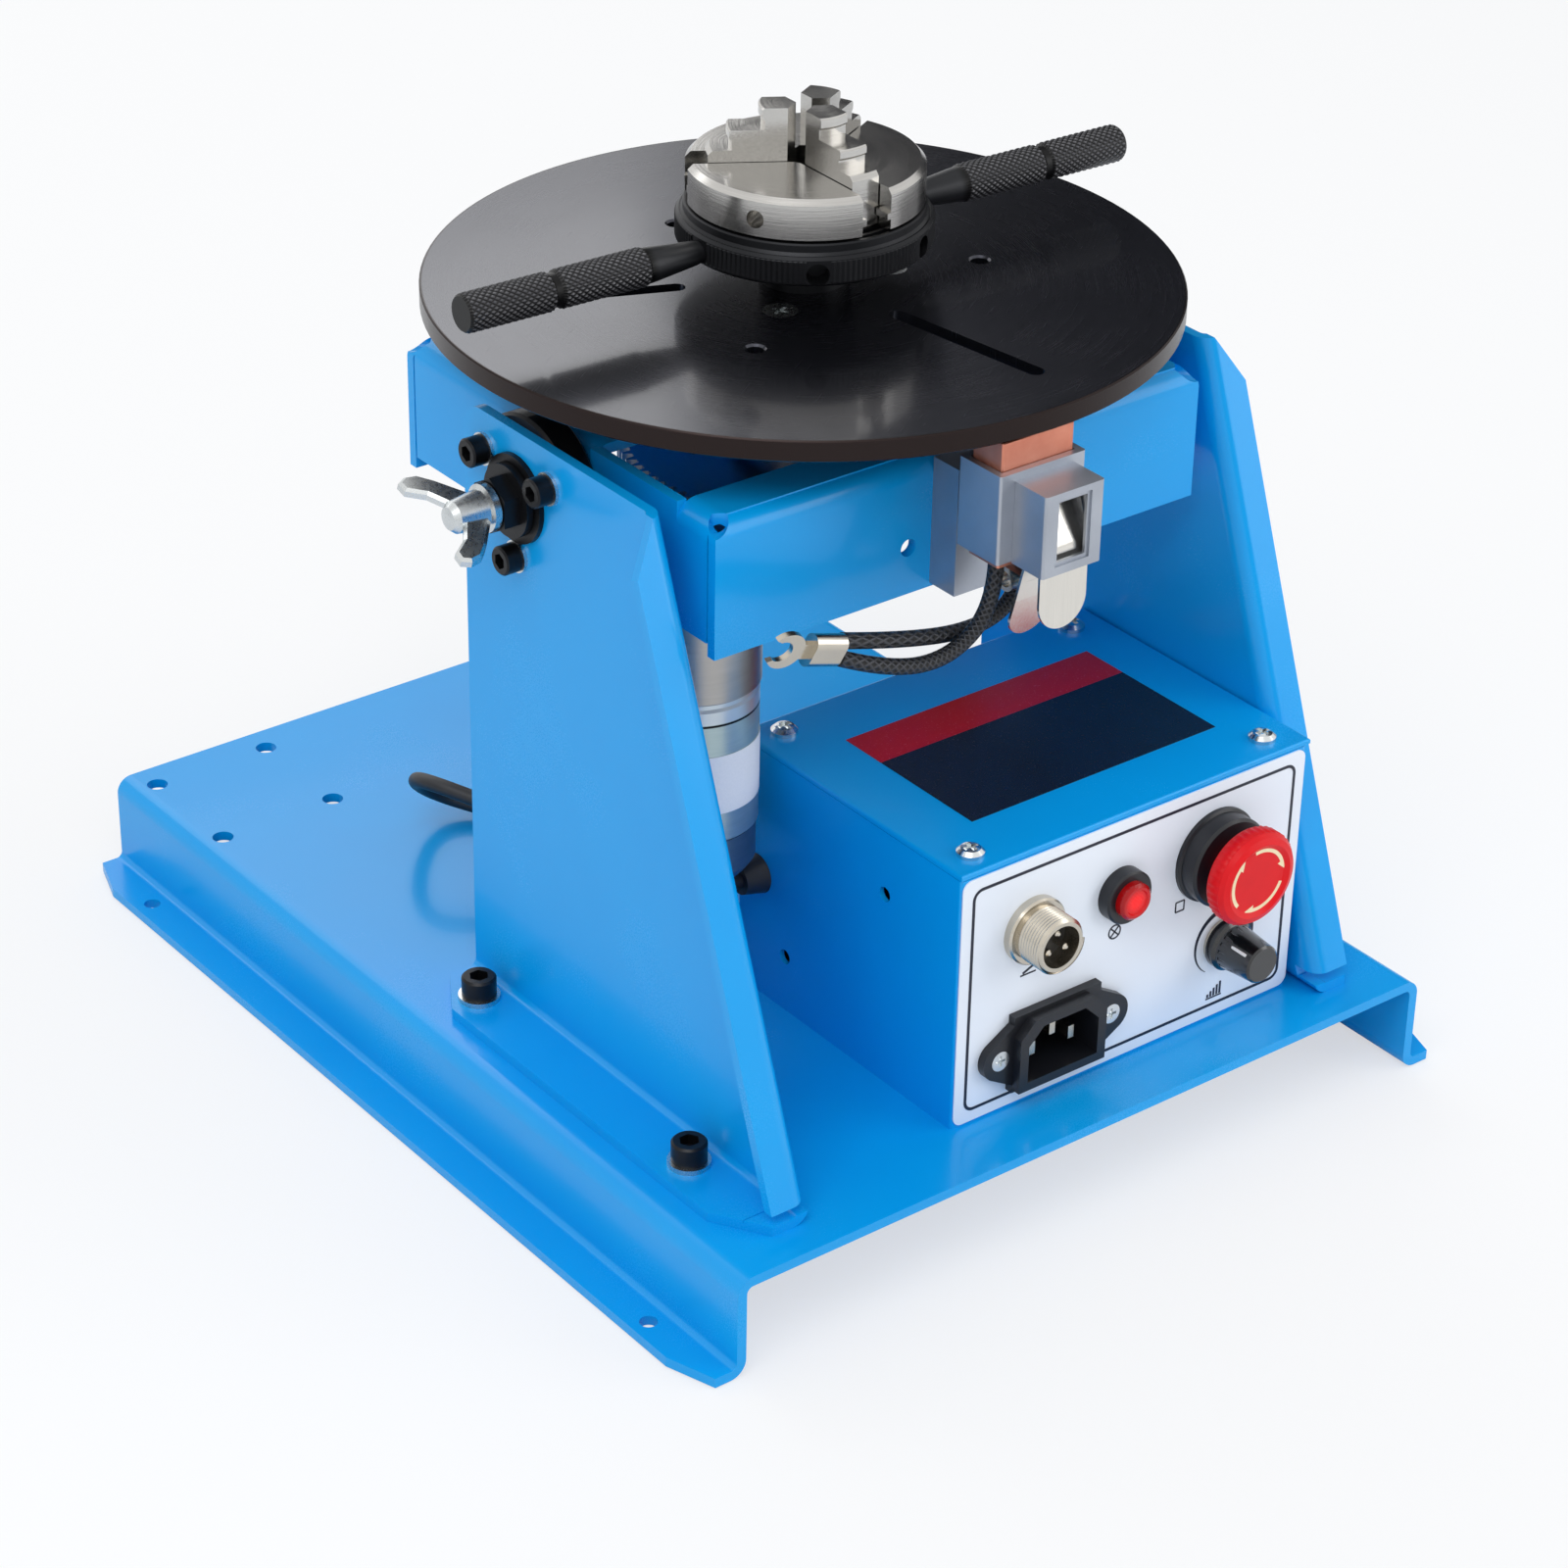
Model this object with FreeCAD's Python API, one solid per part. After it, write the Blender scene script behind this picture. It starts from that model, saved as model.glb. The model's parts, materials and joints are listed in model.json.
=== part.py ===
import FreeCAD, Part
import math
import os

# Bench welding positioner: a turntable with a small scroll chuck on a tilting sheet-metal tray,
# carried by two bent supports on a hat-section base, with its control box on the base in front.
# Millimetres. +X to the right, +Y to the back, +Z up; the origin is the middle of the footprint.

vector = FreeCAD.Vector
x_axis = vector(1, 0, 0)
y_axis = vector(0, 1, 0)
z_axis = vector(0, 0, 1)
os.makedirs("parts", exist_ok=True)

# ---- driving dimensions ----
sheet = 3.0                      # thickness of the base, supports and tray
bend_radius = 2.0                # inside radius of their bends
running_gap = 0.3                # between faces that slide past each other
fit_gap = 0.05                   # radial clearance of a shaft in its bore

base_width = 270.0
base_depth = 319.0
base_height = 30.7
base_flange = 12.0               # width of the flanges outside the two base walls
base_corner = (5.0, 15.0)        # corner cut of a base flange, across and along
flange_hole_inset = (5.3, 30.0)  # from the sides and the ends of the base
flange_hole_diameter = 5.0
stand_hole_inset = (40.1, 29.5)  # middle of the square of holes, from the left side and the rear
stand_hole_pitch = 39.0
stand_hole_diameter = 6.4

support_spread = 189.4           # over the outer faces of the two support plates
support_top = 211.8
support_rear = 3.0
support_front_top = -84.4        # where the sloping front edge meets the top
support_front_foot = -148.7
support_corner = 8.0
support_flange_width = 9.3       # stiffening flange on the sloping edge, beyond the plate
support_flange_chamfer = 14.0
support_relief = 3.4             # height of the gap between that flange and the foot
support_flange_lap = 8.0         # part of the plate that belongs to the bend of the flange
foot_flange_gap = 0.4            # between the plate's front corner and the foot
foot_width = 18.7
foot_corner = (9.7, 15.6)
foot_bolt_inset = 9.4            # from the free edge of the foot
foot_bolt_y = (-12.5, -112.5)
foot_bolt = (10.0, 6.0, 5.0, 6.0, 14.0)      # head, its height, key, shank and length of a socket screw
foot_washer = (12.0, 6.2, 1.5)               # outer and inner diameters, thickness
foot_nut = (10.0, 5.0)
foot_bolt_hole = 6.4

pivot_y = -22.0
pivot_z = 192.5
pivot_circle = 17.2              # radius of the three flange screws
pivot_screw_angles = (30, 150, 270)
pivot_screw = (8.2, 5.0, 4.0, 5.0, 10.0)
pivot_washer = (9.2, 5.2, 1.0)
pivot_screw_hole = 5.4
flange_diameter = 44.6
flange_boss_diameter = 25.0
flange_boss_proud = 1.5
flange_chamfer = 0.8
stud_diameter = 10.0
stud_thread = 6.0
stud_head = (16.0, 5.0)          # across flats and thickness of the head inside the tray
clamp_washer = (20.5, 2.0)
clamp_nut = (14.0, 5.0)
wing_hub = (11.0, 8.4, 13.0)     # diameters at foot and tip, length
wing_reach = 17.0
wing_wall = 3.5                  # closed end of the hub
wing_turn = 20.0                 # how far the wings stand turned from level
lock_nut_size = (16.0, 6.5)

tray_half_width = 82.5
tray_half_depth = 71.0
tray_top = 209.8
tray_front_bottom = 170.8
tray_side_bottom = 174.3
tray_bend_radius = 3.0
tray_slit = 0.6
tray_relief = 5.0
window_y = (-76.5, -38.5)
window_inner = -36.0
window_corner = 4.0
tray_hole = (-19.0, 184.5, 5.0)

table_diameter = 208.0
table_thickness = 6.0
table_top = 232.2
table_phase = -142.5             # angle of the first threaded hole
table_thread_circle = 50.0
table_thread_diameter = 5.0
table_screw_circle = 24.3
table_screw_head = 9.6
table_screw_shank = 5.0
table_screw_length = 12.0
table_slot = (35.5, 84.5, 5.0)   # inner end, outer end, width

spindle_flange = (62.0, 9.6)
spindle_diameter = 15.0
through_bore = 8.0
housing_flange = (66.0, 5.6)
housing_diameter = 39.0
housing_bottom = 188.0
housing_screw_circle = 26.5
housing_screw = (7.0, 3.0, 2.5, 4.0, 12.0)
housing_nut = (7.0, 3.2)
housing_screw_angles = (45, 135, 225, 315)
housing_counterbore = (8.4, 3.4) # diameter and depth of the seat of each screw
tray_screw_hole = 4.4
bearing = (15.0, 32.0, 9.0)
gear_module = 1.27
gear_teeth = 78
pinion_teeth = 22
gear_face = 8.0
gear_bottom = 176.6
gear_backlash = 0.6
spindle_nut = (24.0, 4.0)

motor_x = -57.0
motor_y = -50.0
gearbox_diameter = 37.0
gearbox_top = 170.5
gearbox_length = 31.0
motor_neck = (34.8, 1.5)
can_diameter = 36.0
can_length = 42.0
cap_diameter = 34.8
cap_length = 12.0
cap_taper = (24.0, 6.0)
motor_shaft = 6.0
pinion_collar = 14.0
bracket_sheet = 2.5
bracket_y = (-74.0, -32.0)
bracket_right = -37.0
bracket_height = 33.0
bracket_screw_y = (-67.0, -53.0)
bracket_screw_z = 190.0
bracket_screw = (8.0, 2.6, 4.0)              # head, its height and shank of a cross screw
gearbox_screw = (5.4, 1.8, 3.0)
gearbox_screw_circle = 15.5
gearbox_screw_angles = (60, 180, 300)
gearbox_screw_depth = 5.0
gearbox_boss = 12.0

box_left = -35.0
box_right = 89.5
box_front = -138.8
box_rear = -42.0
box_top = 111.3
box_sheet = 1.5
box_gap = 0.2
box_flange = 14.0
box_screw_inset = (9.5, 8.0)
lid_screw = (7.8, 2.4, 4.0, 8.0)             # head, its height, shank and length
overlay_thickness = 0.4
overlay_corner = 3.0
label_size = (88.4, 54.6)
label_thickness = 0.15
label_centre = (29.7, -91.0)
side_holes = ((-107.4, 90.4, 4.5), (-64.3, 48.2, 4.5))
lead_hole = (-51.5, 69.7, 12.0)

socket_x = -9.6
lamp_x = 21.8
stop_x = 56.4
upper_row_z = 86.5
knob_x = 62.5
knob_z = 56.0
inlet_x = -0.8
inlet_z = 49.2
inlet_screw_pitch = 40.0

brush_width = 24.0
brush_depth = 12.0
brush_left = -15.6
brush_front = -125.0
brush_bottom = 190.6
holder_wall = 2.3
holder_top = 218.2
holder_bottom = 193.0
brush_clearance = 0.3
spring_box = (19.8, 12.2, 23.3)  # width, depth and height of the spring housing
blade_thickness = 0.8

chuck_diameter = 64.8
chuck_height = 11.6              # of the body above the scroll ring
chuck_bore = 12.0
side_hole = (5.0, 8.0)           # diameter and depth of the holes in the rim of the body
jaw_width = 8.6
jaw_height = 15.0                # above the face of the body
jaw_steps = ((13.0, 9.0), (21.5, 3.4))       # radius of each lower step and its height above the face
jaw_outer = 27.0
jaw_nose = 3.0
jaw_phase = 148.0
jaw_tongue = (4.2, 1.8, 1.2)     # height above the ring, thickness and reach of a guide rib in the slot
jaw_clearance = 0.3
jaw_undercut = 0.7
tooth_width = 1.0
tooth_limits = (15.8, 24.9)      # radii between which a jaw has teeth
scroll_pitch = 3.0
scroll_inner = 13.8
scroll_outer = 31.4
scroll_depth = 2.0
scroll_floor_drop = 2.5          # floor of the scroll below the body
scroll_ridge_width = 1.1
scroll_lip = 1.3
ring_diameter = 69.6
ring_rim_height = 8.2            # knurled rim
ring_height = 11.6               # rim and lip together
ring_lip = 66.0
ring_travel = (-270.0, 720.0)    # degrees
hub_diameter = 25.6
tommy_hole = 6.2
tommy_height = 3.4               # of the holes above the foot of the ring
tommy_phase = -2.0
tommy_depth = 6.5
bar_diameter = 11.0
bar_end = 108.5
bar_knurl = 53.0
bar_tip = 6.0
bar_cone = 9.5
bar_groove = (79.5, 82.5, 0.9)
adapter_neck = 25.0
adapter_flange = (27.4, 2.4)
adapter_height = 11.6            # foot of the ring above the turntable
spigot_diameter = 16.0
spigot_depth = 6.2
countersink_depth = 2.4
gear_web = (34.0, 84.0, 2.2)     # inner and outer diameters and depth of the groove in each face

holder_screw_x = (-6.0, 8.0)
holder_screw_z = 181.0
holder_screw = (7.6, 2.6, 4.0)
holder_screw_depth = 7.0
holder_post_lip = 2.4            # the post stands this far beyond its web on each side
post_x = (-11.4, 13.0)
post_depth = 10.3
post_bottom = 172.0
web_bottom = 186.0
post_top = 209.0
spring_box_shift = 0.4
spring_wall = 1.5
spring_window_x = (-8.0, 1.5)
spring_window_z = (196.0, 213.0)
blade_bend = 6.0
blade_width = 16.0
blade_x = -3.3
front_blade_line = ((-131.6, 210.5), (-136.3, 198.0), (-136.6, 175.0))
rear_blade_line = ((-129.2, 206.0), (-129.2, 192.0), (-126.0, 180.0), (-122.4, 167.5))
brush_roll = (-4.2, -119.5, 183.2, 7.0, 8.0)    # centre, diameter and width
roll_tail_y = -128.0
braid_diameter = 4.4
braid_front = ((-11.8, -120.0, brush_bottom), (-11.8, -120.0, 176.8), (-25.5, -120.2, 165.9),
               (-45.5, -120.0, 168.0), (-62.0, -118.4, 176.4))
braid_rear = ((1.8, -115.2, brush_bottom), (1.8, -115.2, 176.4), (-8.5, -114.4, 167.8),
              (-34.0, -116.6, 171.8), (-61.0, -118.0, 180.9))
lug_mouth = (-62.0, -118.2, 178.7)
lug_tip = (-82.0, -117.4, 184.6)
lug_across = (0.0, -0.3, 0.95)
lug_barrel = (10.0, 9.6, 5.4, 2.0)
fork_outer = 5.6
fork_inner = 3.2

overlay_inset = 0.4
box_corner = 1.2
lid_overhang = 1.5
lid_round = 0.6
socket_hole = 15.6
lamp_hole = 12.2
stop_hole = 22.0
pot_hole = 7.0
inlet_cutout = (27.0, 19.8)
socket_sizes = (20.0, 16.0, 12.6, 12.0)         # flange, barrel, bore diameters and how far it stands out
lamp_sizes = (16.0, 11.0, 4.4)
lamp_lens_proud = 2.8
stop_collar_sizes = (27.0, 7.0, 12.0)
stop_travel = 3.0
stop_contact_sizes = (4.5, 40.0, 15.0)       # ring nut, depth behind the panel and half height of the block
stop_head = (28.0, 19.0)
pot_washer = 14.4
knob_sizes = (15.6, 12.8, 16.6, 1.4)            # skirt and grip diameters, front and foot heights
knob_flutes = 18
inlet_flange = (52.0, 24.4, 2.6)
inlet_block = (31.0, 22.0, 3.0)
inlet_corner = 5.0
inlet_depth = 21.0
inlet_cavity = (25.0, 16.6, 17.5)
lead_diameter = 4.8
grommet_size = (15.0, 7.0)
lead_path = ((-57.0, -50.0, 60.0), (-50.0, -30.0, 44.0), (-40.0, 0.0, 43.0), (-41.0, 22.0, 45.6),
             (-56.0, 45.5, 51.2), (-72.8, 71.5, 57.0), (-54.4, 88.1, 36.2), (-36.5, 61.0, 33.3),
             (-36.0, 30.0, 33.3), (-48.0, 0.0, 33.3), (-68.0, -24.0, 34.0), (-80.0, -48.0, 38.0),
             (-80.0, -52.5, 65.0), (-54.0, -51.5, 69.7))
supply_x = (16.0, 84.0)
supply_y = (-92.0, -47.0)
supply_height = 30.0
board_x = (-30.0, 10.0)
board_y = (-104.0, -48.0)
pillar_height = 6.0
board_cans = ((-18.0, -60.0, 10.0, 16.0), (-4.0, -60.0, 8.0, 12.0))
board_blocks = ((-12.0, -78.0, (18.0, 12.0), 14.0), (-10.0, -96.0, (24.0, 8.0), 9.0))

# ---- sizes that follow from them ----
base_wall_spread = base_width - 2 * base_flange
table_bottom = table_top - table_thickness
foot_top = base_height + sheet
plate_outer = support_spread / 2
plate_inner = plate_outer - sheet
tray_front = pivot_y - tray_half_depth
tray_rear = pivot_y + tray_half_depth
ring_bottom = table_top + adapter_height
ring_edge = ring_bottom + ring_rim_height
chuck_bottom = ring_bottom + ring_height
chuck_top = chuck_bottom + chuck_height
scroll_floor = chuck_bottom - scroll_floor_drop
tongue_level = chuck_bottom + jaw_tongue[0]
tommy_z = ring_bottom + tommy_height
foot_bolt_x = plate_outer + foot_width - foot_bolt_inset
wall_depth = box_sheet + overlay_thickness
lid_right = box_right + lid_overhang
panel_face = box_front - overlay_thickness
panel_holes = ((socket_x, upper_row_z, socket_hole), (lamp_x, upper_row_z, lamp_hole),
               (stop_x, upper_row_z, stop_hole), (knob_x, knob_z, pot_hole))
clamp_stack = plate_outer + flange_boss_proud + running_gap
nut_start = -(clamp_stack + clamp_washer[1])
wing_start = nut_start - clamp_nut[1] - 0.4
cap_bottom = gearbox_top - gearbox_length - motor_neck[1] - can_length - cap_length - cap_taper[1]
lead_start = (motor_x, motor_y, cap_bottom)
lead_end = (box_left - grommet_size[1], lead_hole[0], lead_hole[1])
lead_route = (lead_start,) + lead_path + (lead_end,)


# ---- helpers ----
def save(name, *shapes):
    shape = shapes[0] if len(shapes) == 1 else Part.makeCompound(list(shapes))
    shape.exportStep("parts/" + name + ".step")
    print(name, len(shape.Solids), "solid(s)", round(shape.Volume))


def block(x, y, z):
    return Part.makeBox(x[1] - x[0], y[1] - y[0], z[1] - z[0], vector(x[0], y[0], z[0]))


def rod(diameter, start, end):
    axis = end - start
    return Part.makeCylinder(diameter / 2, axis.Length, start, axis)


def cone(first, second, start, end):
    axis = end - start
    return Part.makeCone(first / 2, second / 2, axis.Length, start, axis)


def prism(points, travel):
    wire = Part.makePolygon(list(points) + [points[0]])
    return Part.Face(wire).extrude(travel)


def turned(outline, centre, axis=z_axis):
    """A revolved piece: outline lists (radius, height) along the axis from the centre."""
    wire = Part.makePolygon([vector(r, 0, h) for r, h in outline + outline[:1]])
    solid = Part.Face(wire).revolve(vector(), z_axis, 360)
    solid.Placement = FreeCAD.Placement(centre, FreeCAD.Rotation(z_axis, axis))
    return solid


def moved(shape, x=0, y=0, z=0):
    copy = shape.copy()
    copy.translate(vector(x, y, z))
    return copy


def spun(shape, degrees, centre=vector(), axis=z_axis):
    copy = shape.copy()
    copy.rotate(centre, axis, degrees)
    return copy


def mirrored(shape):
    return shape.mirror(vector(), x_axis)


def polar(radius, degrees, z=0.0, centre=(0.0, 0.0)):
    angle = math.radians(degrees)
    return vector(centre[0] + radius * math.cos(angle), centre[1] + radius * math.sin(angle), z)


def folded(points, thickness, radius, place, travel):
    """Bent sheet: its middle line in a plane, thickened both ways, with round bends."""
    half = thickness / 2
    middle = radius + half
    left, right = [], []
    first = FreeCAD.Vector(points[1][0] - points[0][0], points[1][1] - points[0][1], 0).normalize()
    normal = vector(-first.y, first.x, 0)
    start = vector(points[0][0], points[0][1], 0)
    side_a, side_b = start + normal * half, start - normal * half
    caps = [(side_a, side_b)]
    for before, corner, after in zip(points, points[1:], points[2:]):
        here = vector(corner[0], corner[1], 0)
        going = (here - vector(before[0], before[1], 0)).normalize()
        leaving = (vector(after[0], after[1], 0) - here).normalize()
        turn = math.atan2(going.x * leaving.y - going.y * leaving.x, going.dot(leaving))
        side = 1 if turn > 0 else -1
        reach = middle * math.tan(abs(turn) / 2)
        entry = here - going * reach
        centre = entry + vector(-going.y, going.x, 0) * middle * side
        for edges, offset in ((left, half), (right, -half)):
            arm = centre - entry
            size = middle - side * offset
            arc_start = centre - arm.normalize() * size
            spoke = arc_start - centre
            arc_points = []
            for share in (0.5, 1.0):
                angle = turn * share
                c, s = math.cos(angle), math.sin(angle)
                arc_points.append(centre + vector(c * spoke.x - s * spoke.y, s * spoke.x + c * spoke.y, 0))
            edges.append((arc_start, arc_points[0], arc_points[1]))
    last = vector(points[-1][0], points[-1][1], 0)
    going = (last - vector(points[-2][0], points[-2][1], 0)).normalize()
    normal = vector(-going.y, going.x, 0)
    ends = (last + normal * half, last - normal * half)
    lines = []
    for edges, begin, finish in ((left, caps[0][0], ends[0]), (right, caps[0][1], ends[1])):
        here = begin
        for entry, mid, leave in edges:
            lines.append(Part.makeLine(place(here), place(entry)))
            lines.append(Part.Arc(place(entry), place(mid), place(leave)).toShape())
            here = leave
        lines.append(Part.makeLine(place(here), place(finish)))
    lines.append(Part.makeLine(place(caps[0][0]), place(caps[0][1])))
    lines.append(Part.makeLine(place(ends[0]), place(ends[1])))
    wire = Part.Wire(Part.__sortEdges__(lines))
    return Part.Face(wire).extrude(travel)


def rounded_block(x, y, z, radius):
    solid = block(x, y, z)
    upright = [e for e in solid.Edges if abs(e.tangentAt(e.FirstParameter).z) > 0.9]
    return solid.makeFillet(radius, upright)


def socket_screw(head, height, key, shank, length, face, axis):
    """Hexagon socket screw whose head sits on the face and whose shank goes in, against the axis."""
    top = face + axis * height
    body = rod(head, face, top).fuse(rod(shank, face - axis * length, face))
    rim = [e for e in body.Edges if e.Length > 3 * head and (e.CenterOfMass - top).Length < 0.01]
    body = body.makeChamfer(head * 0.06, rim)
    pocket = hexagon(key, height * 0.5, top - axis * (height * 0.5), axis)
    return body.cut(pocket)


def hexagon(flats, height, start, axis):
    points = [polar(flats / math.sqrt(3), 60 * i) for i in range(6)]
    solid = prism(points, z_axis * height)
    solid.Placement = FreeCAD.Placement(start, FreeCAD.Rotation(z_axis, axis))
    return solid


def cross_screw(head, height, shank, length, face, axis):
    """Pan head screw with a cross recess, its head on the face."""
    outline = [(0, -length), (shank / 2, -length), (shank / 2, 0), (head / 2, 0), (head / 2, height * 0.45),
               (head * 0.36, height * 0.86), (head * 0.2, height), (0, height)]
    body = turned(outline, face, axis)
    arm, width = head * 0.28, head * 0.09
    for across in ((arm, width), (width, arm)):
        cut = block((-across[0], across[0]), (-across[1], across[1]), (0, height))
        cut.Placement = FreeCAD.Placement(face + axis * (height * 0.5), FreeCAD.Rotation(z_axis, axis))
        body = body.cut(cut)
    return body


def washer(outer, inner, thickness, face, axis):
    hole = rod(inner, face - axis, face + axis * (thickness + 1))
    return rod(outer, face, face + axis * thickness).cut(hole)


# ---- base and supports ----
def base_plate():
    half_wall = base_wall_spread / 2 - sheet / 2
    line = [(-base_width / 2, sheet / 2), (-half_wall, sheet / 2), (-half_wall, base_height - sheet / 2),
            (half_wall, base_height - sheet / 2), (half_wall, sheet / 2), (base_width / 2, sheet / 2)]
    plate = folded(line, sheet, bend_radius, lambda p: vector(p.x, -base_depth / 2, p.y), y_axis * base_depth)
    for side in (-1, 1):
        for end in (-1, 1):
            tip_x, tip_y = side * base_width / 2, end * base_depth / 2
            corner = [vector(tip_x, tip_y, -1), vector(tip_x - side * base_corner[0], tip_y, -1),
                      vector(tip_x, tip_y - end * base_corner[1], -1)]
            plate = plate.cut(prism(corner, z_axis * (sheet + 2)))
            hole = vector(tip_x - side * flange_hole_inset[0], tip_y - end * flange_hole_inset[1], -1)
            plate = plate.cut(rod(flange_hole_diameter, hole, hole + z_axis * (sheet + 2)))
    half_pitch = stand_hole_pitch / 2
    middle_x = stand_hole_inset[0] - base_width / 2
    middle_y = base_depth / 2 - stand_hole_inset[1]
    for side in (-1, 1):
        for end in (-1, 1):
            hole = vector(middle_x + side * half_pitch, middle_y + end * half_pitch, sheet)
            plate = plate.cut(rod(stand_hole_diameter, hole, hole + z_axis * base_height))
    for side in (-1, 1):
        for y in foot_bolt_y:
            hole = vector(side * foot_bolt_x, y, base_height / 2)
            plate = plate.cut(rod(foot_bolt_hole, hole, hole + z_axis * base_height))
    return plate


def support():
    """The left support: plate with an outward foot and an outward stiffening flange in front."""
    foot_edge = plate_outer + foot_width
    middle = plate_outer - sheet / 2
    line = [(-foot_edge, base_height + sheet / 2), (-middle, base_height + sheet / 2), (-middle, support_top)]
    bent = folded(line, sheet, bend_radius, lambda p: vector(p.x, support_front_foot, p.y),
                  y_axis * (support_rear - support_front_foot))
    slope_bottom = foot_top + support_relief
    slope = vector(0, support_front_top - support_front_foot, support_top - slope_bottom).normalize()
    inward = vector(0, slope.z, -slope.y)
    trim = support_flange_lap
    crest = vector(0, support_front_top, support_top) + inward * trim
    sill = vector(0, support_front_foot, slope_bottom) + inward * trim
    step = foot_top + foot_flange_gap
    outline = [vector(0, support_rear, 0), vector(0, support_rear, support_top), crest + slope * trim,
               sill - slope * 2, vector(0, sill.y - slope.y * 2, step),
               vector(0, support_front_foot, step), vector(0, support_front_foot, 0)]
    side_view = prism(outline, -x_axis * (foot_edge + 1))
    plate = bent.common(side_view)
    upright = [e for e in plate.Edges if abs(e.tangentAt(e.FirstParameter).x) > 0.9
               and e.CenterOfMass.y > support_rear - 1 and e.CenterOfMass.z > support_top - 1]
    plate = plate.makeFillet(support_corner, upright)
    spare = support_flange_width * 2
    start = vector(0, support_front_foot, slope_bottom) - slope * spare
    flange_line = [(-(plate_outer + support_flange_width), sheet / 2), (-middle, sheet / 2), (-middle, trim + 1)]
    length = (support_top - slope_bottom) / slope.z + 2 * spare
    flange = folded(flange_line, sheet, bend_radius,
                    lambda p: start + x_axis * p.x + inward * p.y, slope * length)
    limits = ((-foot_edge, 0), (support_front_foot - spare, support_rear), (slope_bottom, support_top))
    flange = flange.common(block(*limits))
    edge = -(plate_outer + support_flange_width)
    crown = vector(0, support_front_top, support_top)
    bend_edge = -(plate_outer + 1)
    above = slope * sheet
    notch = [crown + x_axis * (edge - 1) + above, crown + x_axis * bend_edge + above, crown + x_axis * bend_edge,
             crown + x_axis * edge - slope * support_flange_chamfer,
             crown + x_axis * (edge - 1) - slope * support_flange_chamfer]
    flange = flange.cut(prism([p - inward * sheet for p in notch], inward * 4 * sheet))
    result = plate.fuse(flange)
    for end, y in ((1, support_rear), (-1, support_front_foot)):
        under = base_height - sheet
        corner = [vector(-foot_edge, y, under), vector(-foot_edge + foot_corner[0], y, under),
                  vector(-foot_edge, y - end * foot_corner[1], under)]
        result = result.cut(prism(corner, z_axis * 3 * sheet))
    for y in foot_bolt_y:
        hole = vector(-foot_bolt_x, y, base_height - sheet)
        result = result.cut(rod(foot_bolt_hole, hole, hole + z_axis * 3 * sheet))
    pivot = vector(-plate_outer - sheet, pivot_y, pivot_z)
    through = x_axis * 3 * sheet
    result = result.cut(rod(flange_boss_diameter + 2 * fit_gap, pivot, pivot + through))
    for angle in pivot_screw_angles:
        hole = pivot + vector(0, pivot_circle * math.cos(math.radians(angle)),
                              pivot_circle * math.sin(math.radians(angle)))
        result = result.cut(rod(pivot_screw_hole, hole, hole + through))
    return result.removeSplitter()


def pivot_flange():
    """Black flange bush on the inside of the left support; its boss shows outside the plate."""
    pivot = vector(-plate_outer, pivot_y, pivot_z)
    disc_end = vector(-tray_half_width - running_gap, pivot_y, pivot_z)
    body = rod(flange_diameter, pivot + x_axis * sheet, disc_end)
    body = body.makeChamfer(flange_chamfer, [e for e in body.Edges if e.Length > flange_diameter * 3])
    body = body.fuse(rod(flange_boss_diameter, pivot - x_axis * flange_boss_proud, pivot + x_axis * (sheet + 1)))
    body = body.cut(rod(stud_diameter + 2 * fit_gap, pivot - x_axis * sheet, disc_end + x_axis))
    for angle in pivot_screw_angles:
        hole = pivot + vector(sheet, pivot_circle * math.cos(math.radians(angle)),
                              pivot_circle * math.sin(math.radians(angle)))
        body = body.cut(rod(pivot_screw[3], hole - x_axis, hole + x_axis * (pivot_screw[4] - sheet)))
    return body


def pivot_screw_set():
    screws, washers = [], []
    for angle in pivot_screw_angles:
        place = vector(-plate_outer, pivot_y + pivot_circle * math.cos(math.radians(angle)),
                       pivot_z + pivot_circle * math.sin(math.radians(angle)))
        washers.append(washer(*pivot_washer, place, -x_axis))
        screws.append(socket_screw(*pivot_screw, place - x_axis * pivot_washer[2], -x_axis))
    return screws, washers


def foot_bolts():
    bolts, washers = [], []
    for side in (-1, 1):
        for y in foot_bolt_y:
            seat = vector(side * foot_bolt_x, y, foot_top)
            washers.append(washer(*foot_washer, seat, z_axis))
            bolt = socket_screw(*foot_bolt, seat + z_axis * foot_washer[2], z_axis)
            nut = hexagon(*foot_nut, vector(side * foot_bolt_x, y, base_height - sheet - foot_nut[1]), z_axis)
            bolts.append(bolt.fuse(nut))
    return bolts, washers


left_support = support()
left_flange = pivot_flange()
left_screws, left_washers = pivot_screw_set()
save("base_plate", base_plate())
save("left_support", left_support)
save("right_support", mirrored(left_support))
save("pivot_flanges", left_flange, mirrored(left_flange))
save("pivot_screws", *left_screws, *[mirrored(s) for s in left_screws])
bolts, bolt_washers = foot_bolts()
save("foot_bolts", *bolts)


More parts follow.
